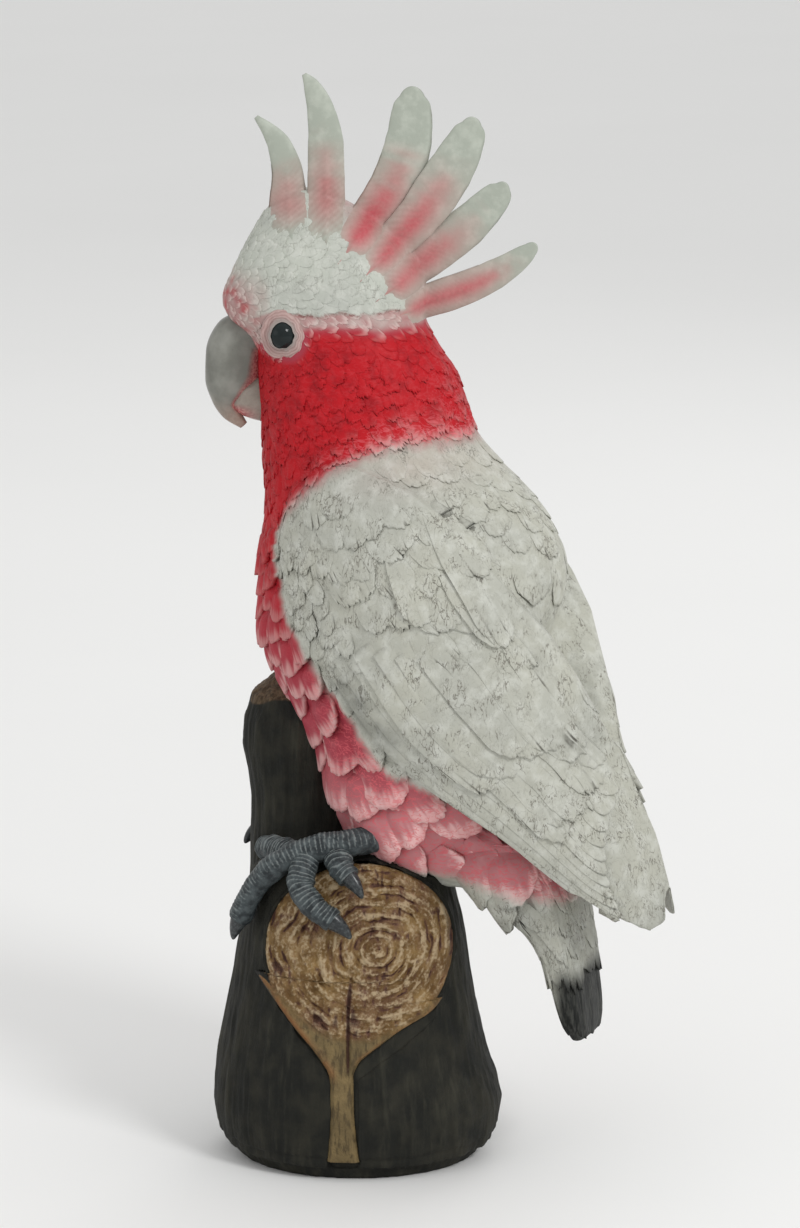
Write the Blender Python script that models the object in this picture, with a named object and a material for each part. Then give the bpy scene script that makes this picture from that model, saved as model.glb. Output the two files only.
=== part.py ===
"""A galah statue on a tree stump, cast in resin: the bird stands upright, head in profile, crest raised.

Metres, +Z up. The bird faces -X. Its body is turned BODY_YAW away from -X, towards +Y, and its head
looks straight along -X. The stump's sawn knot faces -Y. Shapes in the bird's own frame use
(back, left, z): back is the distance behind the body's axis and left the distance to the bird's left.
"""

import math

import bmesh
import bpy
import numpy as np
from mathutils import Matrix, Vector

# Driving dimensions
BODY_YAW = math.radians(20)
BODY_AXIS_X = -0.008
GAP = 0.0003
RING_SIDES = 26
NECK_FROM = 0.293
HEAD_FROM = 0.3305

# The bird's flesh in level sections: height, centre behind the body's axis, half length, half width,
# and the turn of the section (1 = with the body, 0 = with the head).
FLESH = (
    (0.1190, 0.0170, 0.0110, 0.0110, 1.0),
    (0.1240, 0.0110, 0.0230, 0.0220, 1.0),
    (0.1320, 0.0060, 0.0300, 0.0300, 1.0),
    (0.1420, 0.0030, 0.0350, 0.0360, 1.0),
    (0.1550, 0.0015, 0.0395, 0.0400, 1.0),
    (0.1700, 0.0010, 0.0420, 0.0425, 1.0),
    (0.1850, -0.0015, 0.0475, 0.0445, 1.0),
    (0.2000, -0.0056, 0.0546, 0.0465, 1.0),
    (0.2150, -0.0080, 0.0600, 0.0480, 1.0),
    (0.2330, -0.0054, 0.0637, 0.0490, 1.0),
    (0.2500, -0.0039, 0.0653, 0.0485, 1.0),
    (0.2750, -0.0095, 0.0590, 0.0445, 1.0),
    (0.2880, -0.0165, 0.0528, 0.0405, 0.9),
    (0.3000, -0.0230, 0.0465, 0.0370, 0.6),
    (0.3130, -0.0258, 0.0437, 0.0345, 0.3),
    (0.3260, -0.0290, 0.0425, 0.0325, 0.0),
    (0.3380, -0.0335, 0.0385, 0.0315, 0.0),
    (0.3440, -0.0383, 0.0400, 0.0310, 0.0),
    (0.3500, -0.0436, 0.0420, 0.0300, 0.0),
    (0.3570, -0.0430, 0.0435, 0.0285, 0.0),
    (0.3680, -0.0422, 0.0400, 0.0260, 0.0),
    (0.3800, -0.0433, 0.0330, 0.0225, 0.0),
    (0.3900, -0.0468, 0.0240, 0.0175, 0.0),
    (0.3970, -0.0495, 0.0160, 0.0120, 0.0),
    (0.4020, -0.0520, 0.0070, 0.0060, 0.0),
)

# The outer face of the folded wings in level sections: height, centre, half length, half width.
WING_HULL = (
    (0.1000, 0.0870, 0.0230, 0.0230),
    (0.1070, 0.0850, 0.0240, 0.0250),
    (0.1150, 0.0700, 0.0380, 0.0300),
    (0.1300, 0.0534, 0.0500, 0.0380),
    (0.1500, 0.0390, 0.0580, 0.0460),
    (0.1700, 0.0217, 0.0620, 0.0500),
    (0.1900, 0.0155, 0.0675, 0.0535),
    (0.2100, 0.0090, 0.0690, 0.0550),
    (0.2330, 0.0040, 0.0705, 0.0555),
    (0.2500, 0.0000, 0.0700, 0.0545),
    (0.2750, -0.0105, 0.0590, 0.0500),
    (0.3000, -0.0200, 0.0490, 0.0425),
)

# A wing seen from the side, along its length: back, height, half breadth, depth from its outer face.
WING_LEAF = (
    (-0.0240, 0.2960, 0.0060, 0.0100),
    (-0.0220, 0.2830, 0.0270, 0.0250),
    (-0.0140, 0.2600, 0.0390, 0.0400),
    (0.0060, 0.2340, 0.0430, 0.0420),
    (0.0270, 0.2080, 0.0430, 0.0420),
    (0.0480, 0.1840, 0.0345, 0.0400),
    (0.0680, 0.1600, 0.0250, 0.0250),
    (0.0880, 0.1320, 0.0165, 0.0120),
    (0.1010, 0.1130, 0.0080, 0.0070),
    (0.1050, 0.1060, 0.0025, 0.0040),
)
WING_STATIONS = 15
WING_ACROSS = 8
WING_EDGE_DEPTH = 0.0022
WING_LIFT = 0.0040
WING_EDGE_ROUNDING = 0.0012
MIDLINE_CLEAR = 0.0004

# The tail in level sections: height, centre, half length, half width.
TAIL = (
    (0.1400, 0.0340, 0.0220, 0.0250),
    (0.1260, 0.0430, 0.0210, 0.0245),
    (0.1140, 0.0500, 0.0185, 0.0235),
    (0.1040, 0.0565, 0.0135, 0.0225),
    (0.0980, 0.0610, 0.0092, 0.0220),
    (0.0900, 0.0637, 0.0080, 0.0215),
    (0.0690, 0.0682, 0.0063, 0.0205),
    (0.0600, 0.0700, 0.0052, 0.0180),
    (0.0545, 0.0712, 0.0035, 0.0140),
)
TAIL_SQUARENESS = 0.55
TAIL_LEVELS = 12
TAIL_SIDES = 20

# The crest's six feathers, each along its length in the head's own plane: x, z, half breadth.
CREST = (
    ((-0.0630, 0.3900, 0.0085), (-0.0635, 0.4060, 0.0066), (-0.0667, 0.4185, 0.0050),
     (-0.0705, 0.4243, 0.0034), (-0.0763, 0.4305, 0.0010)),
    ((-0.0480, 0.3860, 0.0082), (-0.0479, 0.4060, 0.0076), (-0.0480, 0.4200, 0.0072),
     (-0.0500, 0.4335, 0.0056), (-0.0537, 0.4435, 0.0034), (-0.0567, 0.4482, 0.0010)),
    ((-0.0400, 0.3770, 0.0075), (-0.0225, 0.4000, 0.0092), (-0.0162, 0.4130, 0.0098),
     (-0.0137, 0.4250, 0.0090), (-0.0130, 0.4350, 0.0078), (-0.0128, 0.4430, 0.0030)),
    ((-0.0300, 0.3700, 0.0075), (-0.0105, 0.3900, 0.0090), (-0.0015, 0.4025, 0.0098),
     (0.0060, 0.4150, 0.0087), (0.0107, 0.4255, 0.0064), (0.0120, 0.4308, 0.0024)),
    ((-0.0220, 0.3620, 0.0070), (-0.0030, 0.3760, 0.0086), (0.0080, 0.3845, 0.0084),
     (0.0175, 0.3937, 0.0072), (0.0232, 0.4004, 0.0052), (0.0250, 0.4038, 0.0022)),
    ((-0.0160, 0.3530, 0.0065), (0.0027, 0.3585, 0.0070), (0.0150, 0.3634, 0.0066),
     (0.0253, 0.3690, 0.0056), (0.0331, 0.3746, 0.0040), (0.0378, 0.3788, 0.0016)),
)
CREST_HALF_THICKNESS = 0.0032
CREST_THINNING = 0.55
CREST_STATIONS = 7
CREST_SIDES = 8
CREST_STEP_ASIDE = 0.0012
HEAD_PLANE_Y = 0.0150

# The bill in sections along its length: x, z of the section's outer and inner edge, half width.
BILL_UPPER = (
    ((-0.0800, 0.3520), (-0.0690, 0.3360), 0.0090),
    ((-0.0912, 0.3465), (-0.0764, 0.3340), 0.0095),
    ((-0.0967, 0.3345), (-0.0778, 0.3262), 0.0088),
    ((-0.0972, 0.3228), (-0.0822, 0.3190), 0.0072),
    ((-0.0947, 0.3138), (-0.0852, 0.3130), 0.0050),
    ((-0.0900, 0.3068), (-0.0832, 0.3095), 0.0030),
    ((-0.0832, 0.3025), (-0.0806, 0.3048), 0.0010),
)
BILL_LOWER = (
    ((-0.0700, 0.3060), (-0.0700, 0.3240), 0.0082),
    ((-0.0760, 0.3075), (-0.0752, 0.3230), 0.0078),
    ((-0.0800, 0.3095), (-0.0795, 0.3195), 0.0062),
    ((-0.0826, 0.3115), (-0.0826, 0.3160), 0.0030),
)

EYE_RADIUS = 0.0065
EYE_X = -0.0655
EYE_Z = 0.3452
EYE_SINK = 0.0033

# The stump's foot and its upright stub in level sections: height, centre x, y, half length, half width.
STUMP = (
    (0.0000, -0.0354, 0.0000, 0.0500, 0.0470),
    (0.0030, -0.0354, 0.0000, 0.0545, 0.0505),
    (0.0100, -0.0354, 0.0000, 0.0590, 0.0530),
    (0.0230, -0.0354, 0.0000, 0.0607, 0.0535),
    (0.0450, -0.0376, 0.0000, 0.0563, 0.0515),
    (0.0750, -0.0378, 0.0000, 0.0503, 0.0480),
    (0.1000, -0.0377, 0.0000, 0.0461, 0.0445),
    (0.1180, -0.0380, 0.0000, 0.0420, 0.0410),
    (0.1280, -0.0380, 0.0010, 0.0370, 0.0360),
    (0.1330, -0.0380, 0.0010, 0.0280, 0.0270),
)
STUB = (
    (0.0800, -0.0480, 0.0140, 0.0340, 0.0280),
    (0.1300, -0.0530, 0.0180, 0.0278, 0.0270),
    (0.1500, -0.0540, 0.0190, 0.0268, 0.0262),
    (0.1720, -0.0560, 0.0200, 0.0286, 0.0268),
    (0.1850, -0.0555, 0.0200, 0.0272, 0.0255),
    (0.1940, -0.0555, 0.0200, 0.0225, 0.0215),
    (0.2000, -0.0570, 0.0200, 0.0150, 0.0145),
    (0.2020, -0.0575, 0.0200, 0.0080, 0.0080),
)

# The sawn knot is an oval above a funnel that narrows to a bare strip.
KNOT_CENTRE = (-0.0345, 0.0940)
KNOT_RADII = (0.0392, 0.0360)
KNOT_ARC = (math.radians(-38), math.radians(208))
KNOT_FUNNEL = ((-0.0690, 0.0740), (-0.0450, 0.0440), (-0.0455, 0.0060), (-0.0355, 0.0060),
               (-0.0360, 0.0440), (-0.0040, 0.0660))
KNOT_PROUD = 0.0012
KNOT_DEPTH = 0.0050
KNOT_BACK_Y = -0.012
IN_FRONT_Y = -0.09
WOOD_MIDDLE = (-0.045, 0.0, 0.085)

# Toes: the points that each one passes, and its radius at both ends. Claws carry on from the toe's end.
TOES_LEFT = (
    ((-0.0240, -0.0260, 0.1400), (-0.0420, -0.0330, 0.1380), (-0.0580, -0.0320, 0.1345),
     (-0.0700, -0.0290, 0.1270), (-0.0785, -0.0250, 0.1160), (-0.0838, -0.0220, 0.1040)),
    ((-0.0560, -0.0320, 0.1330), (-0.0585, -0.0395, 0.1230), (-0.0530, -0.0450, 0.1150),
     (-0.0450, -0.0475, 0.1095)),
    ((-0.0440, -0.0330, 0.1350), (-0.0420, -0.0400, 0.1300), (-0.0385, -0.0430, 0.1265)),
    ((-0.0600, -0.0290, 0.1320), (-0.0680, -0.0170, 0.1320), (-0.0735, -0.0060, 0.1300)),
)
TOES_RIGHT = (
    ((-0.0200, 0.0420, 0.1420), (-0.0380, 0.0480, 0.1370), (-0.0560, 0.0480, 0.1330),
     (-0.0700, 0.0430, 0.1300), (-0.0770, 0.0360, 0.1275)),
    ((-0.0520, 0.0480, 0.1330), (-0.0540, 0.0490, 0.1210), (-0.0560, 0.0470, 0.1110)),
    ((-0.0380, 0.0470, 0.1350), (-0.0340, 0.0480, 0.1240), (-0.0330, 0.0470, 0.1150)),
)
TOE_RADII = (0.0050, 0.0036)
CLAW_LENGTH = 0.0135
CLAW_BASE = 0.0030
CLAW_TIP = 0.0007
CLAW_BEND = 0.9
CLAW_DROP = Vector((0.0, 0.0, -0.75))
CLAW_HOOK = 0.25
CLAW_STATIONS = 5
TOE_SIDES = 8


def eased(rows, count):
    """Rows of numbers sampled at count even steps along their own length, on a smooth monotone curve."""
    rows = np.array(rows, float)
    steps = np.maximum(np.linalg.norm(np.diff(rows[:, :3], axis=0), axis=1), 1e-6)
    along = np.concatenate([[0.0], np.cumsum(steps)])
    return eased_at(along, rows, np.linspace(0.0, along[-1], count))


def eased_at(along, rows, where):
    """The rows' values at the places in where, by cubic pieces that never overshoot."""
    slope = np.diff(rows, axis=0) / np.diff(along)[:, None]
    tangent = np.zeros_like(rows)
    same_way = slope[:-1] * slope[1:] > 0
    with np.errstate(divide="ignore", invalid="ignore"):
        mean = 2 * slope[:-1] * slope[1:] / (slope[:-1] + slope[1:])
    tangent[1:-1] = np.where(same_way, mean, 0.0)
    tangent[0], tangent[-1] = slope[0], slope[-1]
    piece = np.clip(np.searchsorted(along, where, side="right") - 1, 0, len(along) - 2)
    width = np.diff(along)[piece]
    t = ((where - along[piece]) / width)[:, None]
    width = width[:, None]
    a, b = rows[piece], rows[piece + 1]
    ta, tb = tangent[piece] * width, tangent[piece + 1] * width
    return (
        (2 * t**3 - 3 * t**2 + 1) * a
        + (t**3 - 2 * t**2 + t) * ta
        + (3 * t**2 - 2 * t**3) * b
        + (t**3 - t**2) * tb
    )


def at_height(table, heights):
    """A table of level sections, whose first column is the height, read at other heights."""
    rows = np.array(sorted(table), float)
    return eased_at(rows[:, 0], rows, np.clip(heights, rows[0, 0], rows[-1, 0]))


def in_world(back, left, z):
    """A point given in the bird's own frame."""
    cos, sin = math.cos(BODY_YAW), math.sin(BODY_YAW)
    return Vector((BODY_AXIS_X + back * cos - left * sin, -back * sin - left * cos, z))


def material(name, colour, roughness):
    made = bpy.data.materials.new(name)
    made.use_nodes = True
    shader = made.node_tree.nodes["Principled BSDF"]
    shader.inputs["Base Color"].default_value = (*colour, 1.0)
    shader.inputs["Roughness"].default_value = roughness
    made.diffuse_color = (*colour, 1.0)
    return made


def object_of(name, mesh, collection, paint=None):
    made = bpy.data.objects.new(name, mesh)
    collection.objects.link(made)
    if paint is not None:
        mesh.materials.append(paint)
    return made


def loft(rings):
    """A closed mesh through rings of equally many points, with a fan at each end."""
    bm = bmesh.new()
    rows = [[bm.verts.new(point) for point in ring] for ring in rings]
    sides = len(rows[0])
    for lower, upper in zip(rows, rows[1:]):
        for i in range(sides):
            j = (i + 1) % sides
            bm.faces.new((lower[i], lower[j], upper[j], upper[i]))
    for row in (rows[0], rows[-1]):
        centre = bm.verts.new(sum((v.co for v in row), Vector()) / sides)
        for i in range(sides):
            bm.faces.new((row[i], row[(i + 1) % sides], centre))
    bmesh.ops.recalc_face_normals(bm, faces=bm.faces)
    if bm.calc_volume(signed=True) < 0:
        bmesh.ops.reverse_faces(bm, faces=bm.faces)
    mesh = bpy.data.meshes.new("loft")
    bm.to_mesh(mesh)
    bm.free()
    mesh.shade_smooth()
    return mesh


def oval_ring(x, y, z, half_x, half_y, turn=0.0, sides=RING_SIDES):
    """A level oval, turned by turn from +X towards -Y."""
    cos, sin = math.cos(turn), math.sin(turn)
    ring = []
    for i in range(sides):
        angle = 2 * math.pi * i / sides
        u, v = half_x * math.cos(angle), half_y * math.sin(angle)
        ring.append((x + u * cos + v * sin, y - u * sin + v * cos, z))
    return ring


def flesh_mesh(stretches, grow=0.0):
    """The bird's flesh over one or more stretches of height, grown outward by grow."""
    heights = np.concatenate([np.linspace(low, high, count) for low, high, count in stretches])
    rings = []
    for z, back, half_length, half_width, turn in at_height(FLESH, heights):
        place = in_world(back, 0.0, z)
        rings.append(
            oval_ring(place.x, place.y, z, half_length + grow, half_width + grow, BODY_YAW * turn)
        )
    rings[0] = [(x, y, z - grow) for x, y, z in rings[0]]
    rings[-1] = [(x, y, z + grow) for x, y, z in rings[-1]]
    return loft(rings)


def level_loft(table, grow=0.0, step=0.0115, sides=RING_SIDES):
    """A mesh through level ovals whose rows give height, centre x, centre y, half length, half width."""
    low, high = min(table)[0], max(table)[0]
    heights = np.linspace(low, high, max(4, round((high - low) / step) + 1))
    rings = [
        oval_ring(x, y, z, half_x + grow, half_y + grow, 0.0, sides)
        for z, x, y, half_x, half_y in at_height(table, heights)
    ]
    rings[0] = [(x, y, low - grow) for x, y, z in rings[0]]
    rings[-1] = [(x, y, high + grow) for x, y, z in rings[-1]]
    return loft(rings)


def tail_mesh(grow=0.0):
    """The tail's blade: level sections with squarer sides than an oval."""
    low, high = min(TAIL)[0], max(TAIL)[0]
    rings = []
    for z, back, half_length, half_width in at_height(TAIL, np.linspace(low, high, TAIL_LEVELS)):
        ring = []
        for i in range(TAIL_SIDES):
            angle = 2 * math.pi * i / TAIL_SIDES
            cos, sin = math.cos(angle), math.sin(angle)
            u = math.copysign(abs(cos) ** TAIL_SQUARENESS, cos) * (half_length + grow)
            v = math.copysign(abs(sin) ** TAIL_SQUARENESS, sin) * (half_width + grow)
            ring.append(in_world(back + u, v, z))
        rings.append(ring)
    return loft(rings)


def wing_outer(back, z):
    """How far left of the mid-plane the wing's outer face lies."""
    _, centre, half_length, half_width = at_height(WING_HULL, [z])[0]
    off = min(abs(back - centre) / half_length, 1.0)
    _, flesh_centre, flesh_length, flesh_width, _ = at_height(FLESH, [z])[0]
    flesh_off = min(abs(back - flesh_centre) / (flesh_length + WING_LIFT), 1.0)
    over_flesh = (flesh_width + WING_LIFT) * math.sqrt(1 - flesh_off * flesh_off)
    return max(half_width * math.sqrt(1 - off * off), over_flesh, 5 * MIDLINE_CLEAR)


def wing_mesh(side):
    """A folded wing as a leaf that wraps the trunk. side is +1 for the left wing and -1 for the right."""
    stations = eased(WING_LEAF, WING_STATIONS)
    centres = stations[:, :2]
    ways = np.gradient(centres, axis=0)
    ways /= np.linalg.norm(ways, axis=1)[:, None]
    rings = []
    for (back, z, breadth, depth), (way_back, way_z) in zip(stations, ways):
        outer, inner = [], []
        for i in range(WING_ACROSS):
            share = math.sin(math.pi * (i / (WING_ACROSS - 1) - 0.5))
            here_back = back - way_z * breadth * share
            here_z = z + way_back * breadth * share
            out = wing_outer(here_back, here_z) - WING_EDGE_ROUNDING * share**8
            inset = max(depth * (1 - share**6), WING_EDGE_DEPTH)
            outer.append((here_back, out, here_z))
            inner.append((here_back, max(out - inset, MIDLINE_CLEAR), here_z))
        ring = outer + inner[::-1]
        rings.append([in_world(b, max(l, MIDLINE_CLEAR) * side, h) for b, l, h in ring])
    return loft(rings)


def crest_feather_mesh(feather, aside, grow=0.0):
    """One crest feather: a blade of lens-shaped sections along its curved length."""
    stations = eased(feather, CREST_STATIONS)
    places = stations[:, :2]
    ways = np.gradient(places, axis=0)
    ways /= np.linalg.norm(ways, axis=1)[:, None]
    rings = []
    for k, ((x, z, breadth), (way_x, way_z)) in enumerate(zip(stations, ways)):
        thick = CREST_HALF_THICKNESS * (1 - CREST_THINNING * k / (CREST_STATIONS - 1))
        thick = min(thick, breadth) + grow
        breadth += grow
        ring = []
        for i in range(CREST_SIDES):
            angle = 2 * math.pi * i / CREST_SIDES
            across, lift = breadth * math.cos(angle), thick * math.sin(angle)
            ring.append((x - way_z * across, HEAD_PLANE_Y + aside + lift, z + way_x * across))
        rings.append(ring)
    return loft(rings)


def bill_mesh(sections, count, sides=12):
    """A half of the bill: ovals that span its outer and inner edge, along its length."""
    rows = eased([(*a, *b, w) for a, b, w in sections], count)
    rings = []
    for ax, az, bx, bz, half_width in rows:
        ring = []
        for i in range(sides):
            angle = 2 * math.pi * i / sides
            share, lift = math.cos(angle), math.sin(angle)
            x = (ax + bx) / 2 + (ax - bx) / 2 * share
            z = (az + bz) / 2 + (az - bz) / 2 * share
            ring.append((x, HEAD_PLANE_Y + half_width * lift, z))
        rings.append(ring)
    return loft(rings)


def tube_mesh(points, start_radius, end_radius, count, sides=TOE_SIDES):
    """A tapered round tube through the points."""
    centres = [Vector(p) for p in eased(points, count)]
    rings = []
    for k, centre in enumerate(centres):
        way = (centres[min(k + 1, count - 1)] - centres[max(k - 1, 0)]).normalized()
        aside = way.cross(Vector((0.0, 0.0, 1.0)))
        if aside.length < 0.05:
            aside = way.cross(Vector((0.0, 1.0, 0.0)))
        aside.normalize()
        over = aside.cross(way)
        radius = start_radius + (end_radius - start_radius) * k / (count - 1)
        rings.append(
            [
                centre + radius * (math.cos(a) * aside + math.sin(a) * over)
                for a in (2 * math.pi * i / sides for i in range(sides))
            ]
        )
    return loft(rings)


def claw_points(toe, away_from):
    """A claw's curve: on from the toe's end, drooping and curling back towards the wood."""
    end, before = Vector(toe[-1]), Vector(toe[-2])
    way = (end - before).normalized()
    inward = (Vector(away_from) - end).normalized()
    start = end + way * (GAP * 1.5)
    points = []
    for k in range(CLAW_STATIONS):
        share = k / (CLAW_STATIONS - 1)
        bend = CLAW_BEND * share * share
        turn = (way + (inward * CLAW_HOOK + CLAW_DROP) * bend).normalized()
        points.append(start)
        start = start + turn * (CLAW_LENGTH / (CLAW_STATIONS - 1))
    return points


def knot_outline():
    """The knot's outline: an arc of the oval, closed below by the funnel and its strip."""
    (cx, cz), (rx, rz) = KNOT_CENTRE, KNOT_RADII
    arc = [(cx + rx * math.cos(a), cz + rz * math.sin(a)) for a in np.linspace(*KNOT_ARC, 24)]
    return arc + list(KNOT_FUNNEL)


def widened(outline, by):
    """An anticlockwise outline moved outward by the same distance everywhere."""
    points = np.array(outline)
    edges = np.roll(points, -1, axis=0) - points
    out = np.stack([edges[:, 1], -edges[:, 0]], axis=1)
    out /= np.linalg.norm(out, axis=1)[:, None]
    corner = out + np.roll(out, 1, axis=0)
    corner /= (1 + (out * np.roll(out, 1, axis=0)).sum(axis=1))[:, None]
    return (points + by * corner).tolist()


def prism_mesh(outline, back_y):
    """An outline in the XZ plane, run back from in front of the wood as far as back_y."""
    bm = bmesh.new()
    rings = [[bm.verts.new((x, y, z)) for x, z in outline] for y in (IN_FRONT_Y, back_y)]
    sides = len(outline)
    for i in range(sides):
        j = (i + 1) % sides
        bm.faces.new((rings[0][i], rings[0][j], rings[1][j], rings[1][i]))
    bm.faces.new(rings[0])
    bm.faces.new(rings[1][::-1])
    bmesh.ops.recalc_face_normals(bm, faces=bm.faces)
    mesh = bpy.data.meshes.new("prism")
    bm.to_mesh(mesh)
    bm.free()
    return mesh


def ball_mesh(centre, radius):
    bm = bmesh.new()
    bmesh.ops.create_uvsphere(bm, u_segments=14, v_segments=8, radius=radius)
    bmesh.ops.rotate(bm, verts=bm.verts, cent=(0, 0, 0), matrix=Matrix.Rotation(math.pi / 2, 3, "X"))
    bmesh.ops.translate(bm, verts=bm.verts, vec=centre)
    mesh = bpy.data.meshes.new("ball")
    bm.to_mesh(mesh)
    bm.free()
    mesh.shade_smooth()
    return mesh


def boolean(target, other, operation="DIFFERENCE"):
    modifier = target.modifiers.new(f"{operation.lower()} {other.name}", "BOOLEAN")
    modifier.operation = operation
    modifier.object = other
    modifier.solver = "EXACT"


class Workshop:
    """The two collections, and the paints."""

    def __init__(self):
        for found in list(bpy.data.objects):
            bpy.data.objects.remove(found, do_unlink=True)
        scene = bpy.context.scene.collection
        self.parts = bpy.data.collections.new("galah_statue")
        self.cutters = bpy.data.collections.new("cutters")
        scene.children.link(self.parts)
        scene.children.link(self.cutters)
        self.paints = {
            "white": material("white_paint", (0.56, 0.58, 0.52), 0.45),
            "grey": material("grey_white_paint", (0.47, 0.48, 0.43), 0.5),
            "red": material("red_paint", (0.55, 0.015, 0.025), 0.45),
            "pink": material("pink_paint", (0.45, 0.09, 0.10), 0.5),
            "bill": material("bill_paint", (0.30, 0.31, 0.28), 0.35),
            "eye": material("eye_gloss", (0.01, 0.012, 0.012), 0.08),
            "foot": material("foot_paint", (0.04, 0.05, 0.052), 0.45),
            "bark": material("bark_paint", (0.02, 0.022, 0.018), 0.6),
            "wood": material("sawn_wood_paint", (0.20, 0.13, 0.07), 0.55),
        }

    def part(self, name, mesh, paint):
        return object_of(name, mesh, self.parts, self.paints[paint])

    def cutter(self, name, mesh):
        made = object_of(name, mesh, self.cutters)
        made.hide_render = True
        made.display_type = "WIRE"
        return made


def make_bird(shop):
    """Trunk, neck and head in one line, parted by level cuts, and what grows from them."""
    stretches = (
        (FLESH[0][0], NECK_FROM - GAP / 2, 20),
        (NECK_FROM + GAP / 2, HEAD_FROM - GAP / 2, 5),
        (HEAD_FROM + GAP / 2, FLESH[-1][0], 14),
    )
    flesh = shop.cutter("flesh_clearance", flesh_mesh(stretches, GAP))
    shop.part("trunk", flesh_mesh(stretches[:1]), "pink")
    shop.part("neck", flesh_mesh(stretches[1:2]), "red")
    head = shop.part("head", flesh_mesh(stretches[2:]), "white")

    tail = shop.part("tail", tail_mesh(), "grey")
    boolean(tail, flesh)
    tail_clearance = shop.cutter("tail_clearance", tail_mesh(GAP))
    for side, word in ((1, "left"), (-1, "right")):
        wing = shop.part(f"wing_{word}", wing_mesh(side), "grey")
        boolean(wing, flesh)
        boolean(wing, tail_clearance)
        make_eye(shop, head, side, word)

    make_bill(shop, flesh)
    make_crest(shop, flesh)
    return flesh, tail_clearance


def make_eye(shop, head, side, word):
    """A glossy ball let into a round socket."""
    _, back, half_length, half_width, _ = at_height(FLESH, [EYE_Z])[0]
    off = (EYE_X - in_world(back, 0.0, 0.0).x) / half_length
    surface = half_width * math.sqrt(1 - off * off)
    centre = (EYE_X, in_world(back, 0.0, 0.0).y - side * (surface - EYE_SINK), EYE_Z)
    shop.part(f"eye_{word}", ball_mesh(centre, EYE_RADIUS), "eye")
    boolean(head, shop.cutter(f"socket_{word}", ball_mesh(centre, EYE_RADIUS + GAP)))


def make_bill(shop, flesh):
    upper = shop.part("bill_upper", bill_mesh(BILL_UPPER, 10), "bill")
    boolean(upper, flesh)
    grown = [((ax - GAP, az + GAP), (bx + GAP, bz - GAP), w + GAP) for (ax, az), (bx, bz), w in BILL_UPPER]
    lower = shop.part("bill_lower", bill_mesh(BILL_LOWER, 6), "bill")
    boolean(lower, shop.cutter("bill_clearance", bill_mesh(grown, 10)))
    boolean(lower, flesh)


def make_crest(shop, flesh):
    """Six raised feathers, each cut clear of the one in front of it where their roots overlap."""
    for k, feather in enumerate(CREST):
        aside = CREST_STEP_ASIDE * (-1) ** k
        blade = shop.part(f"crest_{k + 1}", crest_feather_mesh(feather, aside), "white")
        if k > 0:
            grown = crest_feather_mesh(CREST[k - 1], -aside, GAP)
            boolean(blade, shop.cutter(f"crest_clearance_{k}", grown))
        boolean(blade, flesh)


def make_stump(shop, flesh, tail_clearance):
    """The stump with its stub, the bird's seat cut out of it, and the sawn knot let into its front."""
    stump = shop.part("stump", level_loft(STUMP), "bark")
    boolean(stump, shop.cutter("stub", level_loft(STUB)), "UNION")
    boolean(stump, flesh)
    boolean(stump, tail_clearance)

    knot = shop.part("sawn_knot", level_loft(STUMP, KNOT_PROUD), "wood")
    outline = knot_outline()
    boolean(knot, shop.cutter("knot_outline", prism_mesh(outline, KNOT_BACK_Y)), "INTERSECT")
    boolean(knot, shop.cutter("knot_back", level_loft(STUMP, -KNOT_DEPTH)))
    boolean(knot, flesh)
    pocket = shop.cutter("knot_pocket", prism_mesh(widened(outline, GAP), KNOT_BACK_Y + GAP))
    boolean(pocket, shop.cutter("pocket_back", level_loft(STUMP, -KNOT_DEPTH - GAP)))
    boolean(stump, pocket)


def make_legs(shop, flesh):
    """Each leg leaves the belly and ends in toes that grip the wood, with a claw on each toe."""
    wood = shop.cutter("wood_clearance", level_loft(STUMP, KNOT_PROUD + GAP))
    boolean(wood, shop.cutter("stub_clearance", level_loft(STUB, GAP)), "UNION")
    for word, toes in (("left", TOES_LEFT), ("right", TOES_RIGHT)):
        leg = shop.part(f"leg_{word}", tube_mesh(toes[0], *TOE_RADII, 7), "foot")
        for k, toe in enumerate(toes[1:], start=2):
            mesh = tube_mesh(toe, *TOE_RADII, 5)
            boolean(leg, shop.cutter(f"toe_{word}_{k}", mesh), "UNION")
        boolean(leg, wood)
        boolean(leg, flesh)
        for k, toe in enumerate(toes, start=1):
            curve = claw_points(toe, WOOD_MIDDLE)
            claw = shop.part(f"claw_{word}_{k}", tube_mesh(curve, CLAW_BASE, CLAW_TIP, 5, 6), "foot")
            boolean(claw, wood)


def stand_on_origin(shop):
    """Moves everything so that the bounding box stands on the origin, centred."""
    bpy.context.view_layer.update()
    graph = bpy.context.evaluated_depsgraph_get()
    corners = []
    for part in shop.parts.objects:
        mesh = part.evaluated_get(graph).to_mesh()
        spots = np.empty(len(mesh.vertices) * 3, np.float32)
        mesh.vertices.foreach_get("co", spots)
        corners.append(spots.reshape(-1, 3))
        part.evaluated_get(graph).to_mesh_clear()
    spots = np.concatenate(corners)
    low, high = spots.min(axis=0), spots.max(axis=0)
    shift = Matrix.Translation((-(low[0] + high[0]) / 2, -(low[1] + high[1]) / 2, -low[2]))
    for made in [*shop.parts.objects, *shop.cutters.objects]:
        made.matrix_world = shift @ made.matrix_world


def main():
    shop = Workshop()
    flesh, tail_clearance = make_bird(shop)
    make_stump(shop, flesh, tail_clearance)
    make_legs(shop, flesh)
    stand_on_origin(shop)


main()
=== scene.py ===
"""The looks of a galah statue: a painted cast-resin bird with its crest up, on a sawn tree stump."""

import itertools
import math

import bpy
import numpy as np
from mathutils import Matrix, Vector
from mathutils.bvhtree import BVHTree


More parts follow.
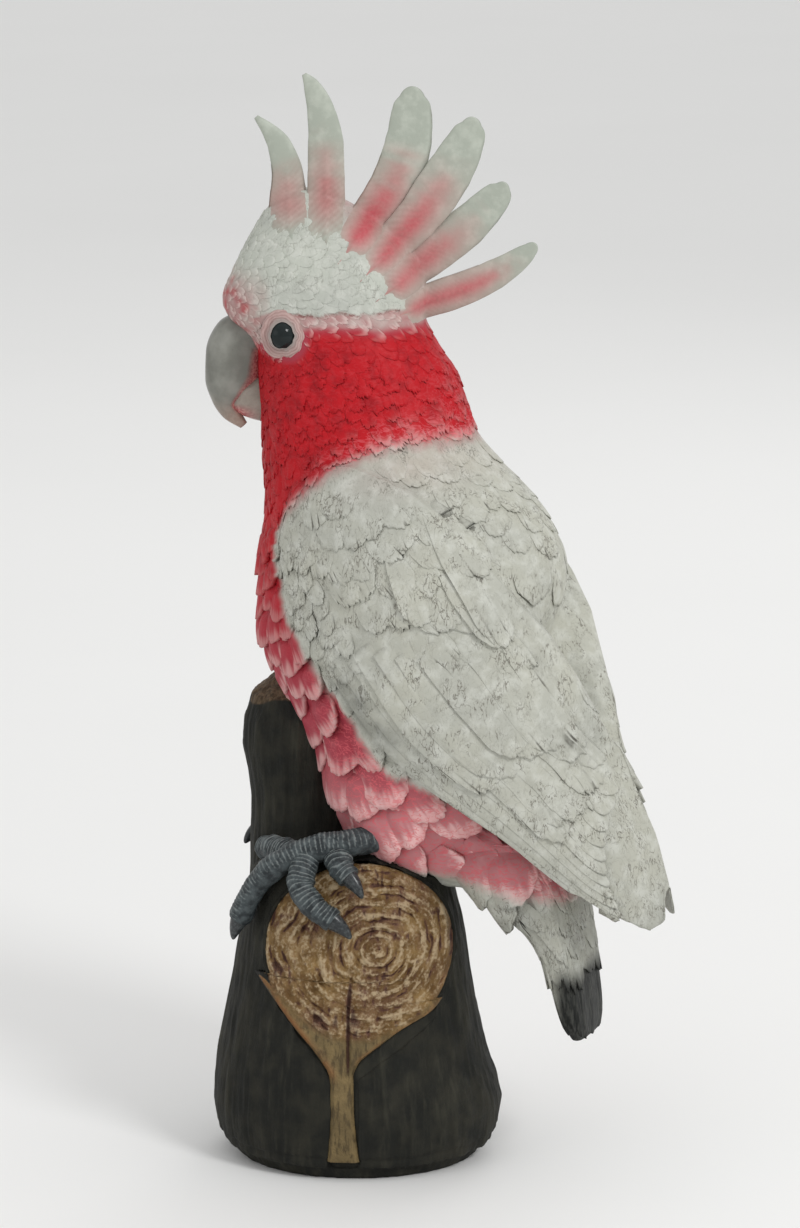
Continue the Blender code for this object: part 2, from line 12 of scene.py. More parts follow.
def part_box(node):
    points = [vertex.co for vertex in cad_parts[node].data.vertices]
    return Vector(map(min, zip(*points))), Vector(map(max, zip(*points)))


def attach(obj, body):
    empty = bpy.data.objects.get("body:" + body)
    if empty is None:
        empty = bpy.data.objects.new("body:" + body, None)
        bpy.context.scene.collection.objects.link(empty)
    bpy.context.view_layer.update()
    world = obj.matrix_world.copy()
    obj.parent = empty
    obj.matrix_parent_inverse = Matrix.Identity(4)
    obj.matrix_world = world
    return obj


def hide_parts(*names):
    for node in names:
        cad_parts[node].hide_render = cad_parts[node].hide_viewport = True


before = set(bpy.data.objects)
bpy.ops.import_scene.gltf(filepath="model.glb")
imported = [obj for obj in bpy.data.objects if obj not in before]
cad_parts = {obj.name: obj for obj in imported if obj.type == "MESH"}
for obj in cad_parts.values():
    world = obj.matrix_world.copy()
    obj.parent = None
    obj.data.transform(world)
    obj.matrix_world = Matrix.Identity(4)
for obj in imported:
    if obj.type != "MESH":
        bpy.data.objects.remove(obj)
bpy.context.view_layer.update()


def middle_of(box):
    """The middle of a solid's box, which is its lowest and its highest corner."""
    return (Vector(box[0]) + Vector(box[1])) / 2


# The statue's main measures, in metres. The tables below are as the statue was drawn. Its solids
# stand centred on the origin, so the eye tells how far they were moved along x.
DRAWN_EYE_X = -0.0655
EYE_RADIUS = 0.0065
EYE_LEFT = middle_of(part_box("eye_left"))
EYE_RIGHT = middle_of(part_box("eye_right"))
SHIFT_X = EYE_LEFT.x - DRAWN_EYE_X
HEAD_Y = (EYE_LEFT.y + EYE_RIGHT.y) / 2
BODY_YAW = math.radians(20)
# How far the coat stands out from the skin.
COAT_DEPTH = 0.0012
# How far apart the skin's points are, how far each solid grows to meet the next one, and how far
# the skin then reaches out before it is let back, so that it bridges the clefts between solids.
SKIN_CELL = 0.0012
JOINED = 0.00035
BRIDGED = 0.0018
FLESH_NODES = ("trunk", "neck", "head", "tail", "wing_left", "wing_right")

# A wing seen from the side, along its length: back, height, half breadth.
WING_LEAF = (
    (-0.0240, 0.2960, 0.0060),
    (-0.0220, 0.2830, 0.0270),
    (-0.0140, 0.2600, 0.0390),
    (0.0060, 0.2340, 0.0430),
    (0.0270, 0.2080, 0.0430),
    (0.0480, 0.1840, 0.0345),
    (0.0680, 0.1600, 0.0250),
    (0.0880, 0.1320, 0.0165),
    (0.1010, 0.1130, 0.0080),
    (0.1050, 0.1060, 0.0025),
)

# The crest's feathers, each along its length in the head's own plane: x, z, half breadth.
CREST = (
    ((-0.0605, 0.3790, 0.0080), (-0.0630, 0.3900, 0.0083), (-0.0635, 0.4060, 0.0066),
     (-0.0667, 0.4185, 0.0050), (-0.0705, 0.4243, 0.0034), (-0.0763, 0.4305, 0.0010)),
    ((-0.0465, 0.3750, 0.0070), (-0.0480, 0.3860, 0.0080), (-0.0479, 0.4060, 0.0076),
     (-0.0480, 0.4200, 0.0072), (-0.0500, 0.4335, 0.0056), (-0.0537, 0.4435, 0.0034),
     (-0.0567, 0.4482, 0.0010)),
    ((-0.0430, 0.3735, 0.0070), (-0.0225, 0.4000, 0.0092), (-0.0162, 0.4130, 0.0098),
     (-0.0137, 0.4250, 0.0090), (-0.0130, 0.4350, 0.0078), (-0.0128, 0.4430, 0.0030)),
    ((-0.0345, 0.3660, 0.0070), (-0.0105, 0.3900, 0.0090), (-0.0015, 0.4025, 0.0098),
     (0.0060, 0.4150, 0.0087), (0.0107, 0.4255, 0.0064), (0.0120, 0.4308, 0.0024)),
    ((-0.0275, 0.3583, 0.0068), (-0.0030, 0.3760, 0.0086), (0.0080, 0.3845, 0.0084),
     (0.0175, 0.3937, 0.0072), (0.0232, 0.4004, 0.0052), (0.0250, 0.4038, 0.0022)),
    ((-0.0215, 0.3510, 0.0062), (0.0027, 0.3585, 0.0070), (0.0150, 0.3634, 0.0066),
     (0.0253, 0.3690, 0.0056), (0.0331, 0.3746, 0.0040), (0.0378, 0.3788, 0.0016)),
)
# How far up each crest feather its rose patch runs, how broad it is, and how strong.
CREST_ROSE = ((0.62, 1.1, 0.6), (0.62, 0.75, 0.75), (0.66, 0.60, 1.0), (0.74, 0.55, 0.9),
              (0.74, 0.60, 0.8), (0.86, 0.55, 0.85))
CREST_HALF_THICKNESS = 0.0030
CREST_STEP_ASIDE = 0.0012

# The bill in sections along its length: the section's outer and inner edge in x and z, half width.
BILL_UPPER = (
    (-0.0780, 0.3525, -0.0690, 0.3360, 0.0088),
    (-0.0912, 0.3465, -0.0735, 0.3330, 0.0095),
    (-0.0967, 0.3345, -0.0745, 0.3245, 0.0088),
    (-0.0972, 0.3228, -0.0800, 0.3170, 0.0072),
    (-0.0947, 0.3138, -0.0845, 0.3120, 0.0050),
    (-0.0900, 0.3068, -0.0832, 0.3095, 0.0030),
    (-0.0832, 0.3025, -0.0806, 0.3048, 0.0010),
)
BILL_LOWER = (
    (-0.0690, 0.3050, -0.0690, 0.3260, 0.0084),
    (-0.0760, 0.3062, -0.0752, 0.3255, 0.0080),
    (-0.0815, 0.3078, -0.0805, 0.3230, 0.0066),
    (-0.0866, 0.3105, -0.0860, 0.3185, 0.0036),
)

# The stump's foot in level sections: height, centre x, half length, half width.
STUMP = (
    (0.0000, -0.0354, 0.0500, 0.0470),
    (0.0030, -0.0354, 0.0545, 0.0505),
    (0.0100, -0.0354, 0.0590, 0.0530),
    (0.0230, -0.0354, 0.0607, 0.0535),
    (0.0450, -0.0376, 0.0563, 0.0515),
    (0.0750, -0.0378, 0.0503, 0.0480),
    (0.1000, -0.0377, 0.0461, 0.0445),
    (0.1180, -0.0380, 0.0420, 0.0410),
    (0.1280, -0.0380, 0.0370, 0.0360),
    (0.1330, -0.0380, 0.0280, 0.0270),
)
KNOT_CENTRE = (-0.0345, 0.0940)
KNOT_RADII = (0.0392, 0.0360)
KNOT_PROUD = 0.0012
KNOT_THICK = 0.0030

# Toes: the points that each one passes. The first of each foot is the leg and its long front toe.
TOES = {
    "left": (
        ((-0.0240, -0.0260, 0.1400), (-0.0420, -0.0330, 0.1380), (-0.0580, -0.0320, 0.1345),
         (-0.0700, -0.0290, 0.1270), (-0.0785, -0.0250, 0.1160), (-0.0838, -0.0220, 0.1040)),
        ((-0.0560, -0.0320, 0.1330), (-0.0585, -0.0395, 0.1230), (-0.0530, -0.0450, 0.1150),
         (-0.0450, -0.0475, 0.1095)),
        ((-0.0440, -0.0330, 0.1350), (-0.0420, -0.0400, 0.1300), (-0.0385, -0.0430, 0.1265)),
        ((-0.0600, -0.0290, 0.1320), (-0.0680, -0.0170, 0.1320), (-0.0735, -0.0060, 0.1300)),
    ),
    "right": (
        ((-0.0200, 0.0420, 0.1420), (-0.0380, 0.0480, 0.1370), (-0.0560, 0.0480, 0.1330),
         (-0.0700, 0.0430, 0.1300), (-0.0770, 0.0360, 0.1275)),
        ((-0.0520, 0.0480, 0.1330), (-0.0540, 0.0490, 0.1210), (-0.0560, 0.0470, 0.1110)),
        ((-0.0380, 0.0470, 0.1350), (-0.0340, 0.0480, 0.1240), (-0.0330, 0.0470, 0.1150)),
    ),
}
TOE_RADII = (0.0059, 0.0045)


# Sums that several pieces share
def smooth(low, high, value):
    """0 below low, 1 above high, and an easy slope between."""
    t = np.clip((np.asarray(value) - low) / (high - low), 0, 1)
    return t * t * (3 - 2 * t)


def bell(value):
    """1 at 0, dying away by about 1 on either side."""
    return np.exp(-(value**2))


def stacked(*parts):
    """Numbers side by side along a new last axis."""
    return np.stack(np.broadcast_arrays(*parts), axis=-1)


def once_round(sides):
    """Angles once round, as a row."""
    return (2 * math.pi * np.arange(sides) / sides)[None, :]


def length_of(path):
    return float(np.linalg.norm(np.diff(path, axis=0), axis=1).sum())


def hashed(cells, seed):
    """A fixed random number from 0 to 1 for each whole-number cell."""
    mixed = (cells[..., 0] * 73856093) ^ (cells[..., 1] * 19349663) ^ (cells[..., 2] * 83492791)
    mixed = (mixed ^ (seed * 668265263)) & 0xFFFFFFFF
    mixed = ((mixed ^ (mixed >> 15)) * 2246822519) & 0xFFFFFFFF
    mixed = ((mixed ^ (mixed >> 13)) * 3266489917) & 0xFFFFFFFF
    return ((mixed ^ (mixed >> 16)) & 0xFFFF) / 0xFFFF


def noise(points, size, seed=0):
    """Smooth noise from -1 to 1, its bumps about size across. size may differ by axis."""
    grid = np.asarray(points, float) / size
    low = np.floor(grid).astype(np.int64)
    part = grid - low
    part = part * part * (3 - 2 * part)
    total = 0.0
    for corner in np.ndindex(2, 2, 2):
        weight = np.where(corner, part, 1 - part).prod(axis=-1)
        total = total + weight * hashed(low + np.array(corner), seed)
    return 2 * total - 1


def layered(points, size, seed=0, layers=3):
    """Noise with finer noise on top."""
    size = np.asarray(size, float)
    return sum(noise(points, size / 2**k, seed + k) / 2**k for k in range(layers)) / 1.6


def eased_at(along, rows, where):
    """Rows of numbers read at the places in where, by cubic pieces that never overshoot."""
    slope = np.diff(rows, axis=0) / np.diff(along)[:, None]
    tangent = np.zeros_like(rows)
    same_way = slope[:-1] * slope[1:] > 0
    with np.errstate(divide="ignore", invalid="ignore"):
        mean = 2 * slope[:-1] * slope[1:] / (slope[:-1] + slope[1:])
    tangent[1:-1] = np.where(same_way, mean, 0.0)
    tangent[0], tangent[-1] = slope[0], slope[-1]
    low = np.clip(np.searchsorted(along, where, side="right") - 1, 0, len(along) - 2)
    width = np.diff(along)[low]
    t = ((where - along[low]) / width)[:, None]
    width = width[:, None]
    return (
        (2 * t**3 - 3 * t**2 + 1) * rows[low]
        + (t**3 - 2 * t**2 + t) * tangent[low] * width
        + (3 * t**2 - 2 * t**3) * rows[low + 1]
        + (t**3 - t**2) * tangent[low + 1] * width
    )


def eased(rows, count, measured=3, to_tip=False):
    """Rows sampled at count steps along the line of their first measured columns, closer at a tip."""
    rows = np.array(rows, float)
    steps = np.linalg.norm(np.diff(rows[:, :measured], axis=0), axis=1)
    along = np.concatenate([[0.0], np.cumsum(np.maximum(steps, 1e-6))])
    share = np.linspace(0.0, 1.0, count)
    if to_tip:
        share = np.sin(share * math.pi / 2)
    return eased_at(along, rows, along[-1] * share)


def at_height(table, heights):
    """A table's rows read at heights, which are its first column."""
    rows = np.array(table, float)
    return eased_at(rows[:, 0], rows, np.clip(heights, rows[0, 0], rows[-1, 0]))


def unit(vectors):
    return vectors / np.maximum(np.linalg.norm(vectors, axis=-1, keepdims=True), 1e-12)


# The bird's own frame: its upright axis, and the ways back and to its left.
AXIS = np.array((SHIFT_X - 0.008, 0.0020, 0.0))
BACK = np.array((math.cos(BODY_YAW), -math.sin(BODY_YAW), 0.0))
LEFT = np.array((-math.sin(BODY_YAW), -math.cos(BODY_YAW), 0.0))
UP = np.array((0.0, 0.0, 1.0))


def in_world(back, left, z):
    """Points given in the bird's own frame: behind its axis, to its left, and up."""
    place = stacked(back, left, z)
    return AXIS + place[..., :1] * BACK + place[..., 1:2] * LEFT + place[..., 2:] * UP


def in_bird(points):
    """The same, the other way round."""
    off = points - AXIS
    return off @ BACK, off @ LEFT, points[..., 2]


# Paints
class Value:
    """One socket of a paint. Arithmetic on it adds Math nodes, so that shader sums read as sums."""

    def __init__(self, paint, socket):
        self.paint = paint
        self.socket = socket

    def worked(self, operation, first, second=0.0):
        return self.paint.node("ShaderNodeMath", {"operation": operation}, {0: first, 1: second})

    def __add__(self, other):
        return self.worked("ADD", self, other)

    def __radd__(self, other):
        return self.worked("ADD", other, self)

    def __sub__(self, other):
        return self.worked("SUBTRACT", self, other)

    def __rsub__(self, other):
        return self.worked("SUBTRACT", other, self)

    def __mul__(self, other):
        return self.worked("MULTIPLY", self, other)

    def __rmul__(self, other):
        return self.worked("MULTIPLY", other, self)

    def over(self, low, high):
        """0 below low, 1 above high, with an easy slope between."""
        return self.paint.node(
            "ShaderNodeMapRange",
            {"interpolation_type": "SMOOTHSTEP"},
            {"Value": self, "From Min": low, "From Max": high},
        )

    def most(self, other):
        return self.worked("MAXIMUM", self, other)

    def lines(self, low, high):
        """Thin lines where noise passes its middle."""
        away = self.worked("ABSOLUTE", self * 2.0 - 1.0)
        return (1.0 - away).over(low, high)


class Paint:
    """A material whose nodes are made one call at a time."""

    def __init__(self, name, **constants):
        self.material = bpy.data.materials.new(name)
        self.material.use_nodes = True
        self.tree = self.material.node_tree
        self.shader = self.tree.nodes["Principled BSDF"]
        self.shader.inputs["Specular IOR Level"].default_value = 0.25
        for socket, number in constants.items():
            self.shader.inputs[socket.replace("_", " ")].default_value = number

    def plug(self, socket, value):
        if isinstance(value, Value):
            self.tree.links.new(value.socket, socket)
        else:
            socket.default_value = value

    def node(self, kind, settings=None, inputs=None, output=0):
        made = self.tree.nodes.new(kind)
        for name, setting in (settings or {}).items():
            if name == "stops":
                ramp = made.color_ramp.elements
                while len(ramp) < len(setting):
                    ramp.new(0.5)
                for stop, (place, colour) in zip(ramp, setting):
                    stop.position = place
                    stop.color = (*colour, 1.0)
            else:
                setattr(made, name, setting)
        for name, value in (inputs or {}).items():
            self.plug(made.inputs[name], value)
        return Value(self, made.outputs[output])

    def field(self, name):
        """A number that the mesh carries at each of its points."""
        return self.node("ShaderNodeAttribute", {"attribute_name": name}, output="Fac")

    def place(self):
        return self.node("ShaderNodeTexCoord", output="Object")

    def stretched(self, scale):
        return self.node("ShaderNodeMapping", {}, {"Vector": self.place(), "Scale": scale})

    def cloud(self, size, detail=3.0, place=None, twist=0.0):
        """Noise from about 0 to 1, its clouds about size across and curled by a twist."""
        inputs = {
            "Vector": place or self.place(),
            "Scale": 1 / size,
            "Detail": detail,
            "Roughness": 0.55,
            "Distortion": twist,
        }
        return self.node("ShaderNodeTexNoise", {}, inputs)

    def mix(self, factor, first, second, how="MIX"):
        """Colours mixed: the first where factor is 0 and the second where it is 1."""
        ends = [(*end, 1.0) if isinstance(end, tuple) else end for end in (first, second)]
        return self.node(
            "ShaderNodeMix",
            {"data_type": "RGBA", "blend_type": how, "clamp_factor": True},
            {0: factor, 6: ends[0], 7: ends[1]},
            output=2,
        )

    def finish(self, colour, roughness=None, height=None, depth=0.0005, strength=1.0):
        """Joins colour, roughness and relief to the shader. depth is the relief's depth in metres."""
        self.plug(self.shader.inputs["Base Color"], colour)
        if roughness is not None:
            self.plug(self.shader.inputs["Roughness"], roughness)
        if height is not None:
            inputs = {"Height": height, "Distance": depth, "Strength": strength}
            self.plug(self.shader.inputs["Normal"], self.node("ShaderNodeBump", {}, inputs))
        return self.material


WHITE = (0.480, 0.500, 0.445)
CREAM = (0.455, 0.456, 0.392)
PALE_PINK = (0.580, 0.320, 0.312)
ROSE = (0.350, 0.046, 0.066)
CRIMSON = (0.450, 0.009, 0.015)
DARK_RED = (0.200, 0.006, 0.010)
BRIGHT_PINK = (0.640, 0.120, 0.140)
SMOKE = (0.060, 0.056, 0.044)
BLACK = (0.014, 0.015, 0.014)


def plumage_paint(name):
    """Satin paint on cast feathers: flat colours, dry-brushed ridges, a dark wash in the cuts, and
    some painted light and shade.
    """
    paint = Paint(name, IOR=1.34, Coat_Roughness=0.25)
    rose, crimson = paint.field("rose"), paint.field("crimson")
    soot, relief, rim = paint.field("soot"), paint.field("relief"), paint.field("rim")
    tip, crown, brush = paint.field("tip"), paint.field("crown"), paint.field("brush")
    cracked, worn, faint = paint.field("cracked"), paint.field("worn"), paint.field("faint")
    broad = paint.cloud(0.030, 4.0)
    mottled = paint.cloud(0.006, 4.0)
    fine = paint.cloud(0.0011, 3.0)
    curled = paint.cloud(0.0055, 2.0, paint.stretched((1.0, 1.0, 2.2)), 1.2)
    wisps = curled.lines(0.89, 0.985)
    scratched = paint.cloud(0.0030, 3.0, paint.stretched((1.0, 1.0, 0.6)), 0.8).lines(0.95, 0.995)

    white = paint.mix(crown, CREAM, WHITE)
    white = paint.mix(broad.over(0.35, 0.7) * 0.50, white, (0.365, 0.375, 0.345))
    white = paint.mix(mottled.over(0.42, 0.72) * 0.55, white, (0.60, 0.61, 0.56))
    softly = paint.cloud(0.006, 1.0, twist=0.4)
    faded = (tip * 1.05 + relief * 1.05 + softly * 0.7 + fine * 0.10 - 0.46).over(-0.05, 1.00)
    blush = paint.mix(faded, ROSE, PALE_PINK)
    # Paler pink low on the belly: partly its own paler colour, partly painted light on the shaded
    # underside.
    blush = paint.mix(faint * (0.26 + faded * 0.50), blush, (0.90, 0.60, 0.59))
    red = paint.mix(mottled.over(0.42, 0.75) * 0.6, CRIMSON, DARK_RED)
    red = paint.mix(broad.over(0.45, 0.7) * 0.45, red, (0.28, 0.006, 0.010))
    colour = paint.mix(rose, white, blush)
    colour = paint.mix(crimson, colour, red)

    warm = rose.most(crimson)
    brushed = (relief * 0.60 + tip * 0.40 + fine * 0.40 + 0.08).over(0.60, 1.25)
    pale = paint.mix(rose, (0.64, 0.65, 0.60), (0.66, 0.42, 0.41))
    glow = paint.mix(crimson, pale, BRIGHT_PINK)
    colour = paint.mix(brushed * (0.40 - crimson * 0.34), colour, glow)
    # Pink strokes on the red, strongest at the nape and above the collar: brushed paint and painted
    # highlight.
    strokes = wisps * (brush * 0.70 + crimson * 0.09)
    colour = paint.mix(strokes, colour, BRIGHT_PINK)
    colour = paint.mix(tip * brush * mottled.over(0.3, 0.6) * 0.6, colour, (0.66, 0.28, 0.28))
    hatched = paint.cloud(0.0022, 3.0, paint.stretched((1.0, 1.0, 0.40)), 0.5).lines(0.93, 0.99)
    patchy = paint.cloud(0.010, 3.0, twist=0.6).over(0.44, 0.62)
    chipped = worn.over(0.75, 1.0)
    marks = scratched * (0.22 + chipped * 0.30) + hatched * patchy * 0.85
    colour = paint.mix(marks * (1.0 - crown * 0.55) * (1.0 - warm), colour, (0.17, 0.16, 0.135))

    broken = paint.cloud(0.013, 4.0).over(0.43, 0.62)
    edges = rim.over(0.04, 0.50) * (0.16 + broken * 0.84).most(worn.over(0.5, 1.1))
    edges = edges * (0.35 + worn * 0.95).over(0.0, 1.0)
    cut = edges * (1.0 - crown * 0.80) * (1.0 - warm * 0.82)
    crack = (0.0 - relief).over(0.30, 0.85) * (0.15 + broken * 0.85)
    crack = crack * (1.0 - warm * 0.6) * (1.0 - crown * 0.6)
    wash = cut.most(crack)
    dark = paint.mix(warm, SMOKE, DARK_RED)
    colour = paint.mix(wash * 0.88, colour, dark)
    ragged = paint.cloud(0.0016, 3.0).over(0.35, 0.62)
    colour = paint.mix(cracked * (0.25 + ragged * 0.75), colour, (0.150, 0.035, 0.030))
    streaked = paint.cloud(0.0014, 3.0, paint.stretched((1.0, 1.0, 0.22)))
    # Towards black: the tail's black end, greyer patches, and painted shade low on the wing's front.
    colour = paint.mix(soot * (0.93 + streaked.over(0.35, 0.6) * 0.07), colour, BLACK)
    roughness = 0.42 + mottled * 0.16 + wash * 0.2
    relief_height = fine * 0.5 + mottled * 0.5 + curled * 0.3
    return paint.finish(colour, roughness, relief_height, 0.00045, 0.6)


# Meshes
def piece(name, points, quads, triangles, paint, fields=None, atlas=None):
    """A smooth-shaded mesh object, with numbers for each point and an atlas place for each corner."""
    corners = np.concatenate([np.ravel(quads), np.ravel(triangles)]).astype(np.int32)
    first = len(quads) * 4
    starts = np.concatenate([np.arange(0, first, 4), first + np.arange(len(triangles)) * 3])
    mesh = bpy.data.meshes.new(name)
    mesh.vertices.add(len(points))
    mesh.vertices.foreach_set("co", np.asarray(points, np.float32).ravel())
    mesh.loops.add(len(corners))
    mesh.loops.foreach_set("vertex_index", corners)
    mesh.polygons.add(len(starts))
    mesh.polygons.foreach_set("loop_start", starts.astype(np.int32))
    mesh.update(calc_edges=True)
    mesh.shade_smooth()
    carry(mesh, fields or {})
    if atlas is not None:
        made = mesh.uv_layers.new(name="OFBake")
        made.data.foreach_set("uv", np.asarray(atlas, np.float32).ravel())
    mesh.materials.append(paint)
    return in_scene(name, mesh)


def in_scene(name, data):
    """An object of this mesh, lamp or camera."""
    made = bpy.data.objects.new(name, data)
    bpy.context.scene.collection.objects.link(made)
    return made


def carry(mesh, fields):
    """Gives a mesh numbers at each of its points."""
    for field, numbers in fields.items():
        layer = mesh.attributes.new(field, "FLOAT", "POINT")
        layer.data.foreach_set("value", np.asarray(numbers, np.float32).ravel())


def sheet_quads(rows, columns, closed=False, ring=False):
    """The quads of a grid of points counted row by row. closed joins the last column to the first,
    and ring the last row to the first.
    """
    index = np.arange(rows * columns).reshape(rows, columns)
    index = np.pad(index, ((0, int(ring)), (0, int(closed))), mode="wrap")
    return stacked(index[:-1, :-1], index[:-1, 1:], index[1:, 1:], index[1:, :-1]).reshape(-1, 4)


def tube(rings):
    """Points, quads and end triangles of a closed form through rings of points (rows, sides, 3)."""
    rows, sides, _ = rings.shape
    points = np.concatenate([rings.reshape(-1, 3), rings[:1].mean(axis=1), rings[-1:].mean(axis=1)])
    first = np.arange(sides)
    after = np.roll(first, -1)
    last = (rows - 1) * sides
    caps = stacked(after, first, rows * sides), stacked(first + last, after + last, rows * sides + 1)
    return points, *outward(points, sheet_quads(rows, sides, closed=True), np.concatenate(caps))


NO_TRIANGLES = np.zeros((0, 3), int)


def outward(points, quads, triangles):
    """The same faces, turned to face out if they faced in."""
    sides = np.concatenate([quads[:, [0, 1, 2]], quads[:, [0, 2, 3]], triangles])
    if np.linalg.det(points[sides]).sum() < 0:
        return quads[:, ::-1], triangles[:, ::-1]
    return quads, triangles


def points_of(mesh):
    """A mesh's points, and the way that it faces at each."""
    both = np.empty((2, len(mesh.vertices) * 3), np.float32)
    mesh.vertices.foreach_get("co", both[0])
    mesh.vertex_normals.foreach_get("vector", both[1])
    return both.reshape(2, -1, 3).astype(float)


def placed(made, points):
    """Puts an object's points there, and returns them."""
    made.data.vertices.foreach_set("co", points.astype(np.float32).ravel())
    made.data.update()
    return points


class Surface:
    """A mesh's outside, to lay things on."""

    def __init__(self, made):
        self.points, self.normals = points_of(made.data)
        faces = [tuple(face.vertices) for face in made.data.polygons]
        self.tree = BVHTree.FromPolygons(self.points.tolist(), faces)
        facing = [self.normals[list(face)].mean(axis=0) for face in faces]
        self.face_normals = unit(np.array(facing))

    def nearest(self, points):
        """The closest places on the surface, and the directions that it faces there."""
        found = [self.tree.find_nearest(point) for point in points.reshape(-1, 3).tolist()]
        places = np.array([tuple(hit[0]) for hit in found])
        normals = self.face_normals[[hit[2] for hit in found]]
        return places.reshape(points.shape), normals.reshape(points.shape)

    def seen_from(self, starts, ways):
        """Where rays meet it, the directions that it faces there, and whether each ray met it."""
        starts, ways = np.broadcast_arrays(starts, ways)
        rays = zip(starts.reshape(-1, 3).tolist(), ways.reshape(-1, 3).tolist())
        hits = [self.tree.ray_cast(start, way) for start, way in rays]
        met = np.array([hit[0] is not None for hit in hits])
        places = np.array([tuple(hit[0]) if hit[0] else (0.0, 0.0, 0.0) for hit in hits])
        normals = self.face_normals[[hit[2] if hit[0] else 0 for hit in hits]]
        shape = starts.shape
        return places.reshape(shape), normals.reshape(shape), met.reshape(shape[:-1])


def coat_room(made, points):
    """How far the skin lies inside the solids: the coat's depth, and less where flesh is thin."""
    facing = points_of(made.data)[1]
    tree = Surface(made).tree
    rays = zip((points - 1e-4 * facing).tolist(), (-facing).tolist())
    through = [tree.ray_cast(place, way)[3] for place, way in rays]
    thick = np.array([far if far is not None else 1.0 for far in through])
    return np.minimum(COAT_DEPTH, 0.22 * np.maximum(thick - 2 * BRIDGED, 0.0005))


def remeshed(name, nodes, grow, cell, paint):
    """The CAD nodes, each grown a little so that they meet, as one even mesh."""
    points, faces = [], []
    for node in nodes:
        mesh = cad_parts[node].data
        faces += [[len(points) + v for v in face.vertices] for face in mesh.polygons]
        place, facing = points_of(mesh)
        points += (place + grow * facing).tolist()
    mesh = bpy.data.meshes.new(name)
    mesh.from_pydata(points, [], faces)
    made = in_scene(name, mesh)
    redrawn(made, cell)
    made.data.materials.clear()
    made.data.materials.append(paint)
    return made


def redrawn(made, cell):
    """Gives the object one even surface, with points about a cell apart."""
    mesh = made.data
    even = made.modifiers.new("one surface", "REMESH")
    even.mode = "VOXEL"
    even.voxel_size = cell
    drawn = made.evaluated_get(bpy.context.evaluated_depsgraph_get())
    made.data = bpy.data.meshes.new_from_object(drawn)
    made.modifiers.clear()
    bpy.data.meshes.remove(mesh)
    made.data.shade_smooth()


def softened(made, rounds):
    """Smooths the mesh without thinning it, and returns its points."""
    mesh = made.data
    points = points_of(mesh)[0]
    ends = np.empty(len(mesh.edges) * 2, np.int32)
    mesh.edges.foreach_get("vertices", ends)
    here = np.concatenate([ends[0::2], ends[1::2]])
    there = np.concatenate([ends[1::2], ends[0::2]])
    near = np.maximum(np.bincount(here, minlength=len(points)), 1)[:, None]
    for pull in (0.6, -0.62) * rounds:
        sums = [np.bincount(here, weights=points[there, k], minlength=len(points)) for k in range(3)]
        points += pull * (stacked(*sums) / near - points)
    return placed(made, points)


def pushed(made, points, height):
    """Moves each point out by height, a number or one for each point."""
    facing = points_of(made.data)[1]
    return placed(made, points + np.broadcast_to(height, (len(points),))[:, None] * facing)


# Markings, the same on the skin and on the feathers
LEAF = eased(WING_LEAF, 60, measured=2)
LEAF_WAYS = unit(np.gradient(LEAF[:, :2], axis=0))
COLLAR_TOP = 0.3030
COLLAR_DROP = 10.0
CROWN_EDGE = 0.3532


def on_leaf(back, z):
    """How far along the wing's leaf a point is, from 0 to 1, and how far across it, from -1 to 1."""
    found = []
    # In lots, since every point is measured against the whole leaf.
    for lot in np.array_split(stacked(np.ravel(back), np.ravel(z)), 1 + np.size(z) // 20000):
        off = lot[:, None, :] - LEAF[None, :, :2]
        best = (off**2).sum(axis=2).argmin(axis=1)
        off, way = off[np.arange(len(lot)), best], LEAF_WAYS[best]
        aside = way[:, 0] * off[:, 1] - way[:, 1] * off[:, 0]
        found.append(stacked(best / (len(LEAF) - 1), aside / LEAF[best, 2]))
    return np.concatenate(found).T.reshape(2, *np.shape(z))


def collar_height(back):
    """The lower border of the red neck."""
    return COLLAR_TOP - COLLAR_DROP * np.minimum(back - 0.008, 0) ** 2


